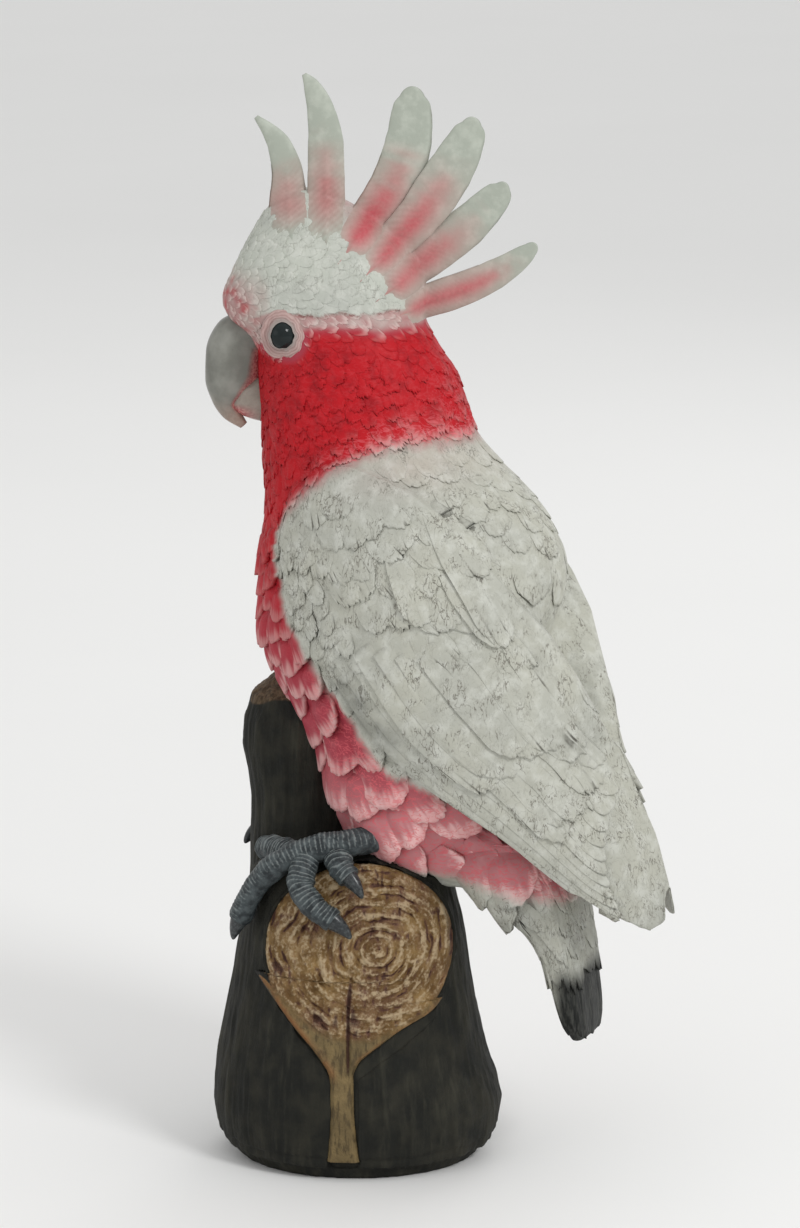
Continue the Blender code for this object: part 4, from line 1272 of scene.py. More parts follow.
def lay_tail(skin, paint):
    """Long black-tipped feathers round the tail, under rows of shorter coverts."""
    rng = np.random.default_rng(71)
    turns = np.arcsin(np.linspace(-0.97, 0.97, 7))
    turns = np.concatenate([turns, math.pi - turns])
    tops = np.full(len(turns), 0.118)
    lengths = tops - 0.0560 - 0.004 * np.abs(np.sin(turns)) ** 3
    nets = tail_nets(skin, turns, tops, lengths, 0.24, 16)
    spots = stacked(0.03 + 0.94 * np.linspace(0, 1, len(turns)), 0.5)
    alike = np.ones(len(turns))
    long_ones = vanes("tail_feathers", nets, alike, TAIL_FEATHER, paint, spots, 73, (0.012, 0.3))
    coverts = []
    for row in range(5):
        for k in range(16):
            turn = 2 * math.pi * (k + 0.5 * (row % 2)) / 16 + rng.normal(0, 0.04)
            top = 0.146 - 0.0085 * row + rng.normal(0, 0.0012)
            coverts.append((turn, top, 0.024 + 0.002 * row))
    turns, tops, lengths = np.array(coverts).T
    nets = tail_nets(skin, turns, tops, lengths, 0.27, 7)
    spots = stacked((turns / (2 * math.pi)) % 1, (tops - 0.09) / 0.07)
    alike = np.ones(len(turns))
    short_ones = vanes("tail_coverts", nets, alike, TAIL_COVERT, paint, spots, 79, (0.004, 0.006))
    return [long_ones, short_ones]


# Crest, bill and eyes
def crest_paint():
    paint = Paint("painted_crest", IOR=1.46)
    rose, groove, edge = paint.field("rose"), paint.field("groove"), paint.field("edge")
    mottled, fine = paint.cloud(0.006, 4.0), paint.cloud(0.0014, 3.0)
    white = paint.mix(mottled.over(0.4, 0.7) * 0.6, (0.355, 0.385, 0.330), (0.490, 0.520, 0.455))
    blush = paint.mix(fine.over(0.35, 0.65) * 0.3, (0.47, 0.085, 0.10), (0.55, 0.19, 0.19))
    colour = paint.mix(rose + (mottled - 0.5) * rose * 0.5, white, blush)
    colour = paint.mix(groove * 0.40, colour, (0.25, 0.13, 0.11))
    # Painted shade: a dark line along one edge of crest feathers 3 to 5, on their upper half.
    colour = paint.mix(edge * mottled.over(0.4, 0.6) * 0.5, colour, SMOKE)
    return paint.finish(colour, 0.36 + mottled * 0.2, fine, 0.0003, 0.4)


BLADE_ROWS, BLADE_SIDES = 90, 56
BARB_STEP = 0.0022
# How far up its length each crest feather may rest on the crown.
CROWN_REACH = 0.62


def make_crest(paint, skin):
    """Six raised feathers with shafts and slanting barbs, running down on to the crown's sides."""
    made = []
    along = np.sin(np.linspace(0, math.pi / 2, BLADE_ROWS))[:, None]
    low = int(np.searchsorted(along[:, 0], CROWN_REACH))
    turn = once_round(BLADE_SIDES)
    v, lift = np.cos(turn), np.sin(turn)
    face, steep = np.sign(lift), np.abs(lift)
    off_shaft = smooth(0.12, 0.3, np.abs(v))
    for number, (feather, (reach, spread, strength)) in enumerate(zip(CREST, CREST_ROSE), start=1):
        blunt_ended = number > 2
        stations = eased(feather, BLADE_ROWS, 2, True)
        ways = unit(np.gradient(stations[:, :2], axis=0))
        length = length_of(stations[:, :2])
        spots = stacked(along * length * 1000, v * 4, face * 3 + number * 7)

        blunt = feather[-2][2] / length
        rounded = np.sqrt(np.clip(1 - np.clip((along - 1 + blunt) / blunt, 0, 1) ** 2, 0.004, 1))
        fray = noise(spots * (1, 0, 0) + (0, number, 0), 3.5, 5)
        frayed = 1 + 0.02 * fray * smooth(0.1, 0.3, along)
        held = np.maximum(stations[:, 2:3], 0.75 * feather[-2][2] * smooth(0.5, 0.9, along))
        breadth = (held * rounded if blunt_ended else stations[:, 2:3]) * frayed
        thick = np.minimum(CREST_HALF_THICKNESS * (1 - 0.55 * along), breadth)
        slant = along * length / BARB_STEP - np.abs(v) * 2.4
        barb = np.sin(2 * math.pi * (slant + 0.15 * noise(spots, 3.0, 9)))
        shaft = 0.0007 * bell(v / 0.10) * smooth(0.75, 0.2, along)
        cut = smooth(0.35, 0.9, noise(spots * (1.0, 0.6, 1), (5.0, 1.2, 3.0), 21)) * off_shaft
        rough = smooth(0.75, 0.25, along) * (0.5 + 0.5 * noise(spots, 5.0, 27))
        rise = shaft + 0.00022 * barb * rough * off_shaft * steep - 0.0004 * cut * rough

        aside = CREST_STEP_ASIDE * (-1) ** (number - 1)
        y = HEAD_Y + aside + thick * (steep**0.75 * face) + face * rise * steep**0.3
        x = stations[:, 0:1] + SHIFT_X - ways[:, 1:2] * breadth * v
        z = stations[:, 1:2] + ways[:, 0:1] * breadth * v
        starts = stacked(x, HEAD_Y + face * 0.06, z)[:low]
        hits, _, met = skin.seen_from(starts, face[..., None] * np.array((0.0, -1.0, 0.0)))
        thin = 0.0024 if blunt_ended else 0.0014
        proud = thin * np.sqrt(np.clip(1 - v * v, 0, 1)) * smooth(0.05, 0.20, along[:low]) - 0.0006
        on_crown = face * (hits[..., 1] - HEAD_Y) + proud + rise[:low]
        out = face * (y[:low] - HEAD_Y)
        out = np.where(met & (steep > 0.02), np.maximum(out, on_crown), out)
        y[:low] = HEAD_Y + face * out

        rose = strength * smooth(reach + 0.10, reach - 0.40, along + 0.06 * noise(spots, 3.0, 33))
        rose = rose * (smooth(0.04, 0.18, along) if blunt_ended else smooth(0.10, 0.34, along))
        rose = rose * (0.25 + 0.75 * bell(v / spread))
        rose = np.maximum(rose, bell((v - 0.05) / 0.07) * smooth(0.62, 0.30, along) * blunt_ended)
        fields = {
            "rose": rose,
            "groove": np.maximum(cut, 0.5 - 0.5 * barb) * steep**0.3 * rough,
            # Where shade is painted: along one edge of feathers 3 to 5, above their middle.
            "edge": smooth(0.85, 1.0, -v) * smooth(0.5, 0.7, along) * (number in (3, 4, 5)),
        }
        fields = {field: np.append(numbers + 0 * x, (0, 0)) for field, numbers in fields.items()}
        points, quads, caps = tube(stacked(x, y, z))
        blade = piece(f"crest_feather_{number}", points, quads, caps, paint, fields)
        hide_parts(f"crest_{number}")
        made.append(blade)
    return made


def bill_paint():
    paint = Paint("painted_bill", IOR=1.5, Coat_Weight=0.25, Coat_Roughness=0.15)
    tip, gape = paint.field("tip"), paint.field("gape")
    broad, fine = paint.cloud(0.012, 4.0), paint.cloud(0.0012, 3.0)
    horn = paint.mix(broad.over(0.35, 0.7), (0.155, 0.156, 0.135), (0.250, 0.250, 0.222))
    buff = paint.mix(fine.over(0.4, 0.6) * 0.5, (0.36, 0.25, 0.20), (0.46, 0.35, 0.28))
    colour = paint.mix(tip * (0.55 + broad * 0.5), horn, buff)
    mouth = paint.mix(fine.over(0.4, 0.6), (0.36, 0.07, 0.08), (0.55, 0.22, 0.20))
    colour = paint.mix(gape, colour, mouth)
    return paint.finish(colour, 0.24 + fine * 0.12, broad * 0.6 + fine * 0.4, 0.0003, 0.35)


def make_bill(paint):
    """The hooked upper bill over the short lower one."""
    made = []
    for word, table, rows, sides in (("upper", BILL_UPPER, 90, 64), ("lower", BILL_LOWER, 40, 48)):
        ax, az, bx, bz, half = (column[:, None] for column in eased(table, rows, measured=4).T)
        turn = once_round(sides)
        share, lift = np.cos(turn), np.sin(turn)
        along = np.linspace(0, 1, rows)[:, None]
        keel = 1 + 0.05 * smooth(0.7, 1.0, share)
        lip = 0.06 * bell((share + 0.55) / 0.16) * smooth(0.05, 0.3, along)
        waves = 0.012 * layered(stacked(along * 40, share * 4, np.sign(lift)), (2.4, 3.0, 1.0), 3)
        x = (ax + bx) / 2 + (ax - bx) / 2 * share * keel + SHIFT_X
        z = (az + bz) / 2 + (az - bz) / 2 * share * keel
        y = HEAD_Y + half * lift * (1 + lip + waves)
        if word == "upper":
            tip = smooth(0.66, 0.98, along)
            gape = smooth(-0.45, -0.80, share) * smooth(0.95, 0.75, along)
        else:
            tip = 0.45
            gape = smooth(0.2, 0.9, share) * smooth(0.2, 0.8, along)
        fields = {}
        for field, numbers in (("tip", tip + 0 * x), ("gape", gape + 0 * x)):
            fields[field] = np.append(numbers, (numbers[0, 0], numbers[-1, 0]))
        points, quads, caps = tube(stacked(x, y, z))
        half_bill = piece(f"bill_{word}_half", points, quads, caps, paint, fields)
        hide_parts(f"bill_{word}")
        made.append(half_bill)
    return made


def eye_paint():
    paint = Paint("painted_eye", IOR=1.45, Roughness=0.12)
    broad = paint.cloud(0.004, 2.0)
    return paint.finish(paint.mix(broad, (0.006, 0.008, 0.008), (0.016, 0.024, 0.024)))


def lid_paint():
    paint = Paint("painted_eye_skin", IOR=1.45)
    fold, out = paint.field("fold"), paint.field("out")
    mottled, fine = paint.cloud(0.003, 4.0), paint.cloud(0.0009, 3.0)
    colour = paint.mix(mottled, (0.40, 0.25, 0.235), (0.50, 0.38, 0.35))
    colour = paint.mix((1 - out) * 0.6, colour, (0.26, 0.27, 0.25))
    colour = paint.mix(fold * 0.35, colour, (0.20, 0.09, 0.085))
    return paint.finish(colour, 0.40 + fine * 0.15, fine, 0.0002, 0.5)


LID_SIDES = 96
LID_RADII = (0.0046, 0.0090)
LID_TALL = 1.12
LID_THICK = 0.0012
WRINKLE_STEP = 1.1


def eyeball(centre, side):
    """Points, quads and end triangles of a ball with its poles at the bird's sides."""
    turn = once_round(64)
    rise = np.linspace(-math.pi / 2, math.pi / 2, 33)[1:-1, None]
    rings = stacked(
        centre.x + EYE_RADIUS * np.cos(rise) * np.cos(turn),
        centre.y + EYE_RADIUS * np.sin(rise) * side,
        centre.z + EYE_RADIUS * np.cos(rise) * np.sin(turn),
    )
    points, quads, caps = tube(rings)
    points[-2:] = centre
    points[-2:, 1] += (-side * EYE_RADIUS, side * EYE_RADIUS)
    return points, quads, caps


def bowl_terms(x, z):
    return stacked(1.0, x, z, x * x, x * z, z * z)


def bowl_round(skin, centre, side):
    """The skin's shape round an eye's socket, as the shares of a smooth bowl's terms."""
    around = np.tile(np.linspace(0, 2 * math.pi, 48, endpoint=False), 2)
    reach = np.repeat((0.0088, 0.0108), 48)
    x, z = reach * np.cos(around), reach * np.sin(around)
    starts = stacked(centre.x + x, centre.y + side * 0.06, centre.z + z)
    hits, _, met = skin.seen_from(starts, np.array((0.0, -side, 0.0)))
    return np.linalg.lstsq(bowl_terms(x, z)[met], hits[met][:, 1], rcond=None)[0]


def eye_skin(skin, centre, side):
    """Points, quads and fields of the wrinkled bare skin that lies round a ball, on the bowl."""
    profile = np.linspace(0, 1, 40)[:, None]
    angle = once_round(LID_SIDES)
    radius = LID_RADII[0] + (LID_RADII[1] - LID_RADII[0]) * profile
    wobble = 1 + 0.05 * noise(stacked(np.cos(angle) * 3, np.sin(angle) * 3, 0), 1.0, side + 5)
    x = radius * np.cos(angle) * wobble
    z = radius * np.sin(angle) * LID_TALL * wobble
    spots = stacked(x * 1000, z * 1000, side)
    wrinkle = np.cos(2 * math.pi * (radius * 1000 / WRINKLE_STEP + 0.75 * layered(spots, 3.0, 4)))
    wrinkle = wrinkle * smooth(0.12, 0.3, profile)
    rise = 0.0012 * smooth(1.0, 0.45, profile) + 0.00010 * wrinkle + 0.0001 * noise(spots, 0.9, 8)
    on_bowl = side * (bowl_terms(x, z) @ bowl_round(skin, centre, side)) + rise
    ball_top = np.sqrt(np.maximum(EYE_RADIUS**2 - x * x - z * z, 0)) + side * centre.y
    level = np.maximum(on_bowl, ball_top + 0.0004 + 0.0003 * bell((profile - 0.10) / 0.07))
    level = level - 0.0012 * smooth(0.05, 0.0, profile) - 0.0006 * smooth(0.9, 1.0, profile)
    upper = stacked(centre.x + x, side * level, centre.z + z)
    rings = np.concatenate([upper, upper[::-1] - np.array((0.0, side * LID_THICK, 0.0))])
    fold = smooth(0.2, -0.9, wrinkle) * smooth(0.15, 0.3, profile) + 0 * x
    out = smooth(0.1, 0.55, profile) + 0 * x
    fields = {"fold": np.concatenate([fold, fold[::-1]]), "out": np.concatenate([out, out[::-1]])}
    return rings.reshape(-1, 3), sheet_quads(len(rings), LID_SIDES, True, True), fields


def make_eyes(skin, eye, lid):
    """Glossy balls, each in a ring of wrinkled bare skin."""
    made = []
    for word, centre, side in (("left", EYE_LEFT, -1), ("right", EYE_RIGHT, 1)):
        ball = piece(f"eyeball_{word}", *eyeball(centre, side), eye)
        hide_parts(f"eye_{word}")
        points, quads, fields = eye_skin(skin, centre, side)
        ring = piece(f"eye_skin_{word}", points, *outward(points, quads, NO_TRIANGLES), lid, fields)
        made += [ball, ring]
    return made


# Feet
def foot_paint():
    paint = Paint("painted_feet", IOR=1.48)
    ridge = paint.field("ridge")
    mottled, fine = paint.cloud(0.004, 4.0), paint.cloud(0.0010, 3.0)
    colour = paint.mix(mottled.over(0.35, 0.65), (0.020, 0.025, 0.028), (0.064, 0.078, 0.082))
    worn = (ridge * 0.55 + fine * 0.7 + mottled * 0.4).over(0.62, 1.15)
    colour = paint.mix(worn * 0.75, colour, (0.20, 0.225, 0.22))
    return paint.finish(colour, 0.34 + fine * 0.2, fine * 0.7 + mottled * 0.5, 0.0005, 0.8)


def claw_paint():
    paint = Paint("painted_claws", IOR=1.48, Coat_Weight=0.3, Coat_Roughness=0.15)
    fine = paint.cloud(0.0012, 3.0)
    colour = paint.mix(fine.over(0.4, 0.7), (0.020, 0.023, 0.025), (0.060, 0.068, 0.070))
    return paint.finish(colour, 0.26 + fine * 0.15, fine, 0.0002, 0.4)


SCUTE = 0.0018
CLAW_LENGTH = 0.0110
CLAW_STEPS = 24
WOOD_MIDDLE = np.array((-0.045, 0.0, 0.085))


def ringed(path, radius, turn, squeeze=1.0):
    """Points in rings round a path, squeezed from the sides."""
    way = unit(np.gradient(path, axis=0))
    side = unit(np.cross(way, UP) + 1e-6)
    over = np.cross(side, way)
    cos, sin = squeeze * np.cos(turn)[..., None], np.sin(turn)[..., None]
    return path[:, None] + radius[..., None] * (cos * side[:, None] + sin * over[:, None])


def scaly_toe(path, number):
    """A toe's rings of points, and how far up a scute's ridge each point is."""
    length = length_of(path)
    along = np.linspace(0, 1, len(path))[:, None]
    turn = once_round(28)
    radius = TOE_RADII[0] + (TOE_RADII[1] - TOE_RADII[0]) * along
    knuckles = sum(bell((along - k) / 0.05) for k in (0.34, 0.66, 0.96))
    spots = stacked(along * 14, turn, number)
    step = (along * length / SCUTE + 0.35 * noise(spots, 1.0, 3)) % 1
    on_top = smooth(-0.45, 0.25, np.sin(turn))
    scale = (0.75 - step) * on_top * smooth(0.0, 0.10, step)
    scale = scale + 0.12 * (1 - on_top) * np.sin(step * 2 * math.pi)
    around = stacked(along * length * 1000, 5 * np.cos(turn), 5 * np.sin(turn) + 9 * number)
    radius = radius * (1 + 0.10 * knuckles + 0.07 * scale + 0.09 * layered(around, 3.2, 5, 2))
    ridge = smooth(0.55, 0.1, step) * smooth(0.0, 0.08, step) * on_top
    return ringed(path, radius, turn), ridge


def curved_claw(path):
    """A claw's rings of points, carrying a toe's path on and bending down towards the wood."""
    way = unit(path[-1] - path[-2])
    inward = unit(WOOD_MIDDLE + (SHIFT_X, AXIS[1], 0.0) - path[-1])
    spot, curve = path[-1] - way * 0.0008, []
    for k in range(CLAW_STEPS):
        bend = 0.9 * (k / (CLAW_STEPS - 1)) ** 2
        curve.append(spot)
        ahead = unit(way + (inward * 0.25 + (0, 0, -0.75)) * bend)
        spot = spot + ahead * CLAW_LENGTH / (CLAW_STEPS - 1)
    share = np.linspace(0, 1, CLAW_STEPS)[:, None]
    radius = 0.0038 * (1 - share) ** 0.65 + 0.0004
    return ringed(np.array(curve), radius, once_round(20), 0.85)


def make_feet(foot, claw):
    """Scaly toes that grip the wood, with a curved claw on each."""
    made = []
    for word, toes in TOES.items():
        shells, fields, start = [], [], 0
        for number, toe in enumerate(toes, start=1):
            path = eased(toe, 170) + (SHIFT_X, AXIS[1], 0.0)
            rings, ridge = scaly_toe(path, number)
            points, quads, caps = tube(rings)
            shells.append((points, quads + start, caps + start))
            start += len(points)
            fields.append(np.append(ridge, (0, 0)))
            nail = piece(f"nail_{word}_{number}", *tube(curved_claw(path)), claw)
            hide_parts(f"claw_{word}_{number}")
            made.append(nail)
        points, quads, caps = (np.concatenate(parts) for parts in zip(*shells))
        fields = {"ridge": np.concatenate(fields)}
        toes_of_foot = piece(f"foot_{word}", points, quads, caps, foot, fields)
        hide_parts(f"leg_{word}")
        made.append(toes_of_foot)
    return made


# Stump and sawn knot
def bark_paint():
    paint = Paint("painted_bark", IOR=1.45)
    furrow, bare = paint.field("furrow"), paint.field("bare")
    streak = paint.cloud(0.0016, 4.0, paint.stretched((1.0, 1.0, 0.16)))
    mottled = paint.cloud(0.012, 4.0)
    fine = paint.cloud(0.0009, 3.0)
    colour = paint.mix(mottled.over(0.35, 0.7), (0.0085, 0.0090, 0.0070), (0.021, 0.020, 0.014))
    ridges = (streak * 0.6 + furrow * 0.5).over(0.50, 0.95)
    colour = paint.mix(ridges * 0.65, colour, (0.046, 0.044, 0.031))
    wood = paint.mix(streak.over(0.35, 0.65), (0.045, 0.028, 0.014), (0.120, 0.082, 0.048))
    colour = paint.mix((bare + (mottled - 0.5) * 0.6).over(0.35, 0.65), colour, wood)
    return paint.finish(colour, 0.62 + fine * 0.2, streak * 0.7 + fine * 0.3, 0.0009, 0.8)


BARK_CELL = 0.0010
# How deep the bark lies under the sawn wood.
UNDER_WOOD = 0.0034


def make_stump(paint):
    """The blackish bark, with upright furrows, a rim at its foot and bare wood on top of the stub."""
    made = remeshed("bark", ("stump",), 0.0, BARK_CELL, paint)
    points = softened(made, 2)
    x, y, z = points.T
    # The wood sits in a pocket, and the bark comes up level to its edges.
    _, middle, half_x, half_y = at_height(STUMP, z).T
    off = np.clip(np.abs(x - SHIFT_X - middle) / half_x, 0, 0.999)
    level = AXIS[1] - half_y * np.sqrt(1 - off * off)
    sunken = (y > level) & (y < level + 0.012) & (y < 0) & (off < 0.97) & (z > 0.005) & (z < 0.1325)
    left, right = knot_sides(z)
    within = np.minimum(x - SHIFT_X - left, right - x + SHIFT_X)
    y[sunken] = (level + UNDER_WOOD * smooth(0.0004, 0.0022, within))[sunken]
    furrow = layered(points, (0.0045, 0.0045, 0.030), 17, 2)
    furrow = furrow + 0.5 * noise(points, (0.0017, 0.0017, 0.016), 23)
    upright = smooth(0.0, 0.004, z)
    band = bell((z - 0.0085 - 0.0012 * noise(points * (1, 1, 0), 0.02, 5)) / 0.0011)
    height = 0.0007 * furrow * upright - 0.0006 * upright - 0.0007 * band
    pushed(made, points, height)
    top = smooth(0.186, 0.192, z + 0.004 * noise(points, 0.012, 7)) * smooth(-0.040, -0.062, x)
    carry(made.data, {"furrow": 0.5 + 0.5 * furrow, "bare": top})
    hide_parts("stump")
    return made


def wood_paint():
    paint = Paint("painted_sawn_wood", IOR=1.46)
    crest, groove, raised = paint.field("crest"), paint.field("groove"), paint.field("raised")
    smooth_wood, outside = paint.field("smooth_wood"), paint.field("outside")
    grain = paint.cloud(0.0012, 4.0)
    upright = paint.cloud(0.0016, 4.0, paint.stretched((1.0, 1.0, 0.25)))
    mottled, broad = paint.cloud(0.008, 5.0), paint.cloud(0.020, 4.0)
    fine = paint.cloud(0.0008, 3.0)
    tan = paint.mix(mottled.over(0.35, 0.68), (0.120, 0.064, 0.020), (0.262, 0.165, 0.062))
    wine = paint.mix(fine.over(0.35, 0.65), (0.060, 0.020, 0.016), (0.140, 0.066, 0.050))
    tan = paint.mix(smooth_wood * 0.55, tan, (0.140, 0.118, 0.060))
    stained = (broad * 0.8 + mottled * 0.5 + groove * 0.35).over(0.58, 0.90) * (1.0 - smooth_wood)
    colour = paint.mix(stained * 0.85, tan, wine)
    worn = (crest * 0.5 + grain * 0.9 + mottled * 0.3).over(0.80, 1.20) * (1.0 - smooth_wood * 0.6)
    colour = paint.mix(worn * 0.85, colour, (0.440, 0.340, 0.212))
    colour = paint.mix(upright.over(0.45, 0.65) * smooth_wood * 0.75, colour, (0.060, 0.042, 0.020))
    colour = paint.mix(raised * mottled.over(0.3, 0.6) * 0.9, colour, (0.200, 0.082, 0.026))
    grooved = (groove + (grain - 0.5) * 0.8).over(0.30, 0.85) * 0.90
    colour = paint.mix(grooved, colour, (0.040, 0.015, 0.010))
    barky = (outside + (grain - 0.5) * 0.7).over(0.3, 0.7)
    colour = paint.mix(barky, colour, (0.0120, 0.0115, 0.0085))
    return paint.finish(colour, 0.50 + fine * 0.2, grain * 0.6 + fine * 0.4, 0.0010, 0.9)


KNOT_ROWS, KNOT_COLUMNS = 280, 176
RING_MIDDLE = (-0.0267, 0.0965)
RING_STEP = 0.0046
KNOT_FOOT = 0.0085
# The wood's outline below the oval, as height and x: the left arm's outer edge, then the right side.
LEFT_ARM = (
    (0.0060, -0.0487), (0.0140, -0.0480), (0.0300, -0.0470), (0.0440, -0.0474),
    (0.0520, -0.0516), (0.0640, -0.0620), (0.0750, -0.0710), (0.0830, -0.0775),
)
RIGHT_ARM = (
    (0.0060, -0.0335), (0.0140, -0.0345), (0.0300, -0.0360), (0.0440, -0.0362), (0.0500, -0.0340),
    (0.0560, -0.0270), (0.0630, -0.0165), (0.0690, -0.0040), (0.0740, 0.0010),
)


def oval_depth(x, z):
    """How far inside the knot's oval a place is, in metres."""
    aside, up = (x - KNOT_CENTRE[0]) / KNOT_RADII[0], (z - KNOT_CENTRE[1]) / KNOT_RADII[1]
    return (1 - np.hypot(aside, up)) * 0.037


def knot_sides(z):
    """Where the wood's outline lies in x at heights z, on its left and on its right."""
    oval = KNOT_RADII[0] * np.sqrt(np.clip(1 - ((z - KNOT_CENTRE[1]) / KNOT_RADII[1]) ** 2, 0, 1))
    arm_x = at_height(LEFT_ARM, z)[:, 1]
    past = smooth(0.0830, 0.0850, z)
    left = np.where(z < 0.0835, arm_x, arm_x * (1 - past) + past)
    left = np.where(z > 0.0700, np.minimum(left, KNOT_CENTRE[0] - oval), left)
    return left, np.where(z < 0.0735, at_height(RIGHT_ARM, z)[:, 1], KNOT_CENTRE[0] + oval)


def sawn_relief(x, z, left, right):
    """How far the wood stands out at each place, and the fields that its paint reads."""
    spots = stacked(x, 0.0, z)
    sideways = (x - RING_MIDDLE[0]) / np.where(x < RING_MIDDLE[0], 1.22, 0.98)
    upward = z - RING_MIDDLE[1]
    apart = np.hypot(sideways, upward) + 0.0020 * layered(spots, 0.012, 3, 4)
    inside = oval_depth(x, z) + 0.0035 * smooth(0.068, 0.088, z) + 0.0012 * layered(spots, 0.006, 4)
    inside = smooth(-0.0005, 0.0040, inside)
    wave = np.sin(2 * math.pi * apart / RING_STEP + 1.3 * noise(spots, 0.0035, 13))
    finer = np.sin(2 * math.pi * apart / (0.36 * RING_STEP) + 2.0 * noise(spots, 0.0030, 15))
    whole = smooth(-0.70, 0.35, layered(spots, 0.007, 19, 2))
    angle = np.arctan2(upward, sideways)
    curved = stacked(apart / 0.0010, angle * np.maximum(apart, 0.004) / 0.0065, 0.0)
    streak = layered(curved, 1.0, 53, 2)
    chips = layered(spots, (0.0018, 0.0018, 0.0036), 29, 3)
    crumbs = layered(spots, 0.0022, 47, 2)
    ring = (0.5 + 0.34 * wave + 0.14 * finer) * whole + 0.5 * (1 - whole)
    ring = ring + 0.16 * chips + 0.30 * streak

    crack_x = 0.0010 * noise(spots * (0, 0, 1), 0.012, 9) - 0.0378
    crack_x = crack_x - 0.04 * np.clip(0.085 - z, 0, 1)
    crack = bell((x - crack_x) / 0.0009) * smooth(0.088, 0.078, z) * smooth(0.040, 0.052, z)
    seams = smooth(0.35, 0.75, noise(spots, (0.0022, 1.0, 0.016), 41))
    seams = seams * smooth(0.100, 0.086, z) * smooth(0.060, 0.070, z)
    seams = seams * smooth(0.0, -0.010, np.abs(x + 0.046) - 0.020) * inside
    arm_x = at_height(LEFT_ARM, z[:, 0])[:, 1:2]
    arm = bell((x - arm_x - 0.0016) / 0.0021) * smooth(0.0845, 0.0800, z) * smooth(0.040, 0.050, z)
    lip = bell((right - x - 0.0018) / 0.0016) * smooth(0.086, 0.076, z) * smooth(0.046, 0.054, z)
    edge = np.minimum(x - left, right - x)

    rise = 0.0020 * (ring - 0.6) * inside + 0.0013 * arm + 0.0009 * lip
    rise = rise - 0.0014 * crack - 0.0008 * seams
    rise = rise + (0.00050 * chips + 0.00045 * crumbs) * (0.35 + 0.65 * inside)
    rise = rise + 0.0005 * layered(spots, 0.010, 31) - 0.0010 - 0.0018 * smooth(0.0026, 0.0, edge)
    dark = np.maximum(0.85 * inside * smooth(0.32, -0.05, ring), np.maximum(crack, 0.8 * seams))
    beside_oval = smooth(0.0010, -0.0015, oval_depth(x, z)) * smooth(0.074, 0.080, z)
    beside_oval = beside_oval * (1 - smooth(0.3, 0.7, arm))
    return rise, {
        "crest": ring * inside + 0.5 * smooth(0.0, 0.8, crumbs),
        "groove": np.maximum(dark, 0.8 * smooth(-0.15, -0.9, chips) * inside),
        "raised": np.maximum(arm, 0.5 * lip),
        "smooth_wood": 1 - inside,
        "outside": np.maximum(smooth(0.0014, 0.0, edge), beside_oval),
    }


def make_knot(paint):
    """The sawn face: chipped rings in an oval, narrowing below to a bare strip with a crack."""
    z = np.linspace(KNOT_FOOT, KNOT_CENTRE[1] + KNOT_RADII[1] - 0.0003, KNOT_ROWS)
    left, right = (side[:, None] for side in knot_sides(z))
    _, middle, half_x, half_y = (column[:, None] for column in at_height(STUMP, z).T)
    across = np.linspace(0, 1, KNOT_COLUMNS)[None, :]
    x, z = left + (right - left) * across, z[:, None] + 0 * across
    off = np.clip(np.abs(x - middle) / (half_x + KNOT_PROUD), 0, 0.985)
    y = -(half_y + KNOT_PROUD) * np.sqrt(1 - off * off)
    rise, fields = sawn_relief(x, z, left, right)
    front = stacked(x + SHIFT_X, y - rise + AXIS[1], z).reshape(-1, 3)
    points = np.concatenate([front, front + (0.0, KNOT_THICK, 0.0)])
    top = sheet_quads(KNOT_ROWS, KNOT_COLUMNS)
    grid = np.arange(x.size).reshape(x.shape)
    around = np.concatenate([grid[0, :-1], grid[:-1, -1], grid[-1, :0:-1], grid[:0:-1, 0]])
    after = np.roll(around, -1)
    walls = stacked(around, around + x.size, after + x.size, after)
    quads = np.concatenate([top[:, ::-1], top + x.size, walls[:, ::-1]])
    fields = {field: np.tile(numbers.ravel(), 2) for field, numbers in fields.items()}
    made = piece("sawn_face", points, *outward(points, quads, NO_TRIANGLES), paint, fields)
    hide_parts("sawn_knot")
    return made


# Floor, light and camera
CAMERA_TARGET = Vector((-0.0172, 0.0020, 0.2273))
CAMERA_AWAY = 2.4
CAMERA_RISE = math.radians(12)
CAMERA_LENS = 171.3


def floor_paint():
    paint = Paint("pale_floor", Roughness=0.7)
    broad, fine = paint.cloud(0.4, 3.0), paint.cloud(0.004, 3.0)
    colour = paint.mix(broad * 0.5, (0.86, 0.86, 0.85), (0.80, 0.80, 0.79))
    return paint.finish(colour, None, fine, 0.0005, 0.1)


# Round soft lamps: name, place, breadth and power.
LAMPS = (
    ("key", (1.2, -1.5, 1.7), 0.7, 22.0),
    ("fill", (-1.6, -1.2, 0.9), 1.2, 2.0),
    ("rim", (0.5, 1.6, 1.3), 1.0, 4.0),
)
LAMP_TARGET = Vector((0.0, 0.0, 0.25))
FLOOR_REACH = 60.0
SKY_STRENGTH = 0.78


def aimed(made, place, way):
    """Puts a lamp or camera at a place, looking along a way."""
    made.location = place
    made.rotation_euler = way.to_track_quat("-Z", "Y").to_euler()


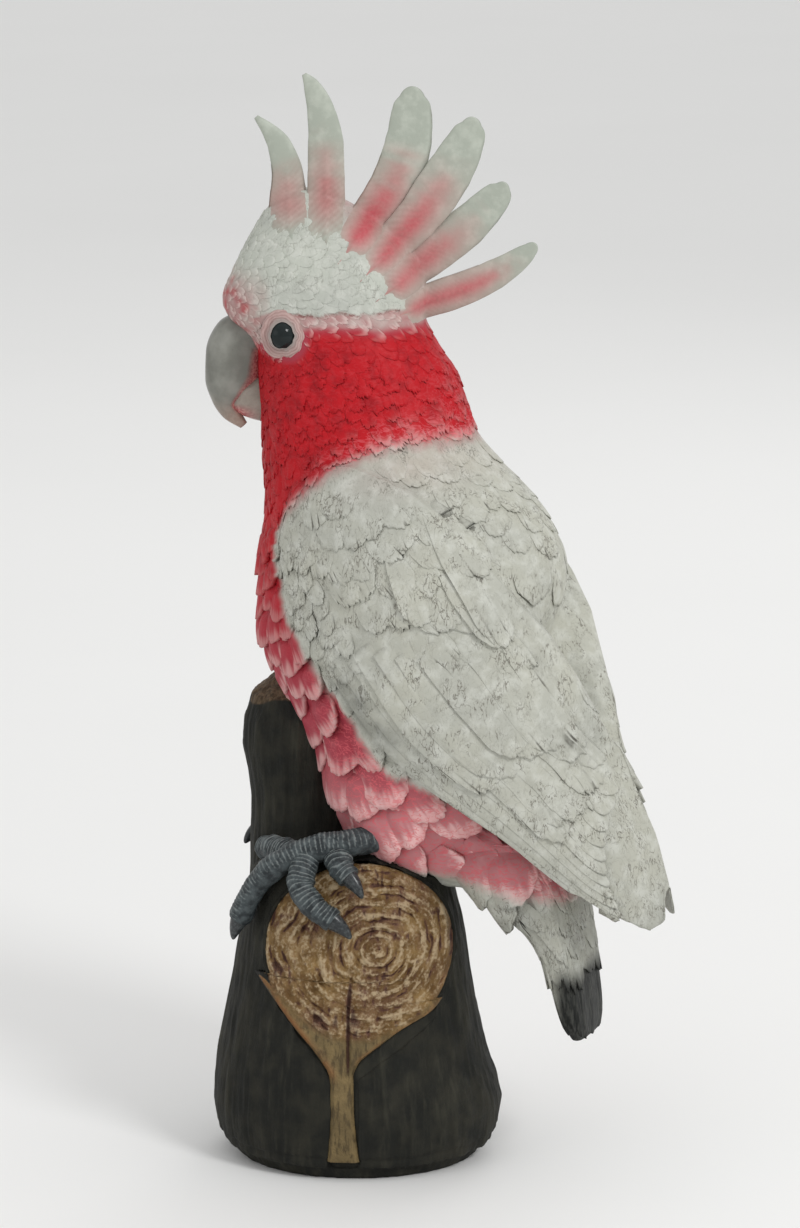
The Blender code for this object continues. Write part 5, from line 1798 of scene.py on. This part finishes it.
def make_studio():
    scene = bpy.context.scene
    scene.view_settings.view_transform = "Standard"
    corners = FLOOR_REACH * np.array([(-1, -1, 0), (1, -1, 0), (1, 1, 0), (-1, 1, 0)], float)
    floor = piece("floor", corners - (0, 0, 0.0002), [(0, 1, 2, 3)], NO_TRIANGLES, floor_paint())
    scene.world = scene.world or bpy.data.worlds.new("studio")
    scene.world.use_nodes = True
    sky = scene.world.node_tree.nodes["Background"]
    sky.inputs["Color"].default_value = (1.0, 1.0, 1.0, 1.0)
    sky.inputs["Strength"].default_value = SKY_STRENGTH
    for name, place, breadth, power in LAMPS:
        lamp = bpy.data.lights.new(name, "AREA")
        lamp.shape = "DISK"
        lamp.size = breadth
        lamp.energy = power
        aimed(in_scene(name, lamp), place, LAMP_TARGET - Vector(place))
    lens = bpy.data.cameras.new("camera")
    lens.lens = CAMERA_LENS
    lens.sensor_width = 36.0
    lens.clip_start = 0.05
    away = Vector((0.0, -math.cos(CAMERA_RISE), math.sin(CAMERA_RISE)))
    scene.camera = in_scene("camera", lens)
    aimed(scene.camera, CAMERA_TARGET + CAMERA_AWAY * away, -away)


def main():
    make_studio()
    plumage = plumage_paint("painted_feathers")
    skin = remeshed("skin", FLESH_NODES, JOINED, SKIN_CELL, plumage)
    pushed(skin, softened(skin, 1), BRIDGED)
    redrawn(skin, SKIN_CELL)
    points = softened(skin, 3)
    points = pushed(skin, points, -JOINED - BRIDGED - coat_room(skin, points))
    bare = {field: np.zeros(len(points)) for field in ("rim", "relief", "tip")}
    carry(skin.data, {**markings(points), **bare})
    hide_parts(*FLESH_NODES)
    surface = Surface(skin)

    coat = lay_coat(surface, plumage)
    for side, word in ((1, "left"), (-1, "right")):
        coat += lay_wing(word, side, surface, plumage)
    coat += lay_tail(surface, plumage)

    made = [skin, *coat, *make_crest(crest_paint(), surface), *make_bill(bill_paint())]
    made += make_eyes(surface, eye_paint(), lid_paint())
    made += make_feet(foot_paint(), claw_paint())
    made += [make_stump(bark_paint()), make_knot(wood_paint())]
    for whole in made:
        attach(whole, "root")


main()
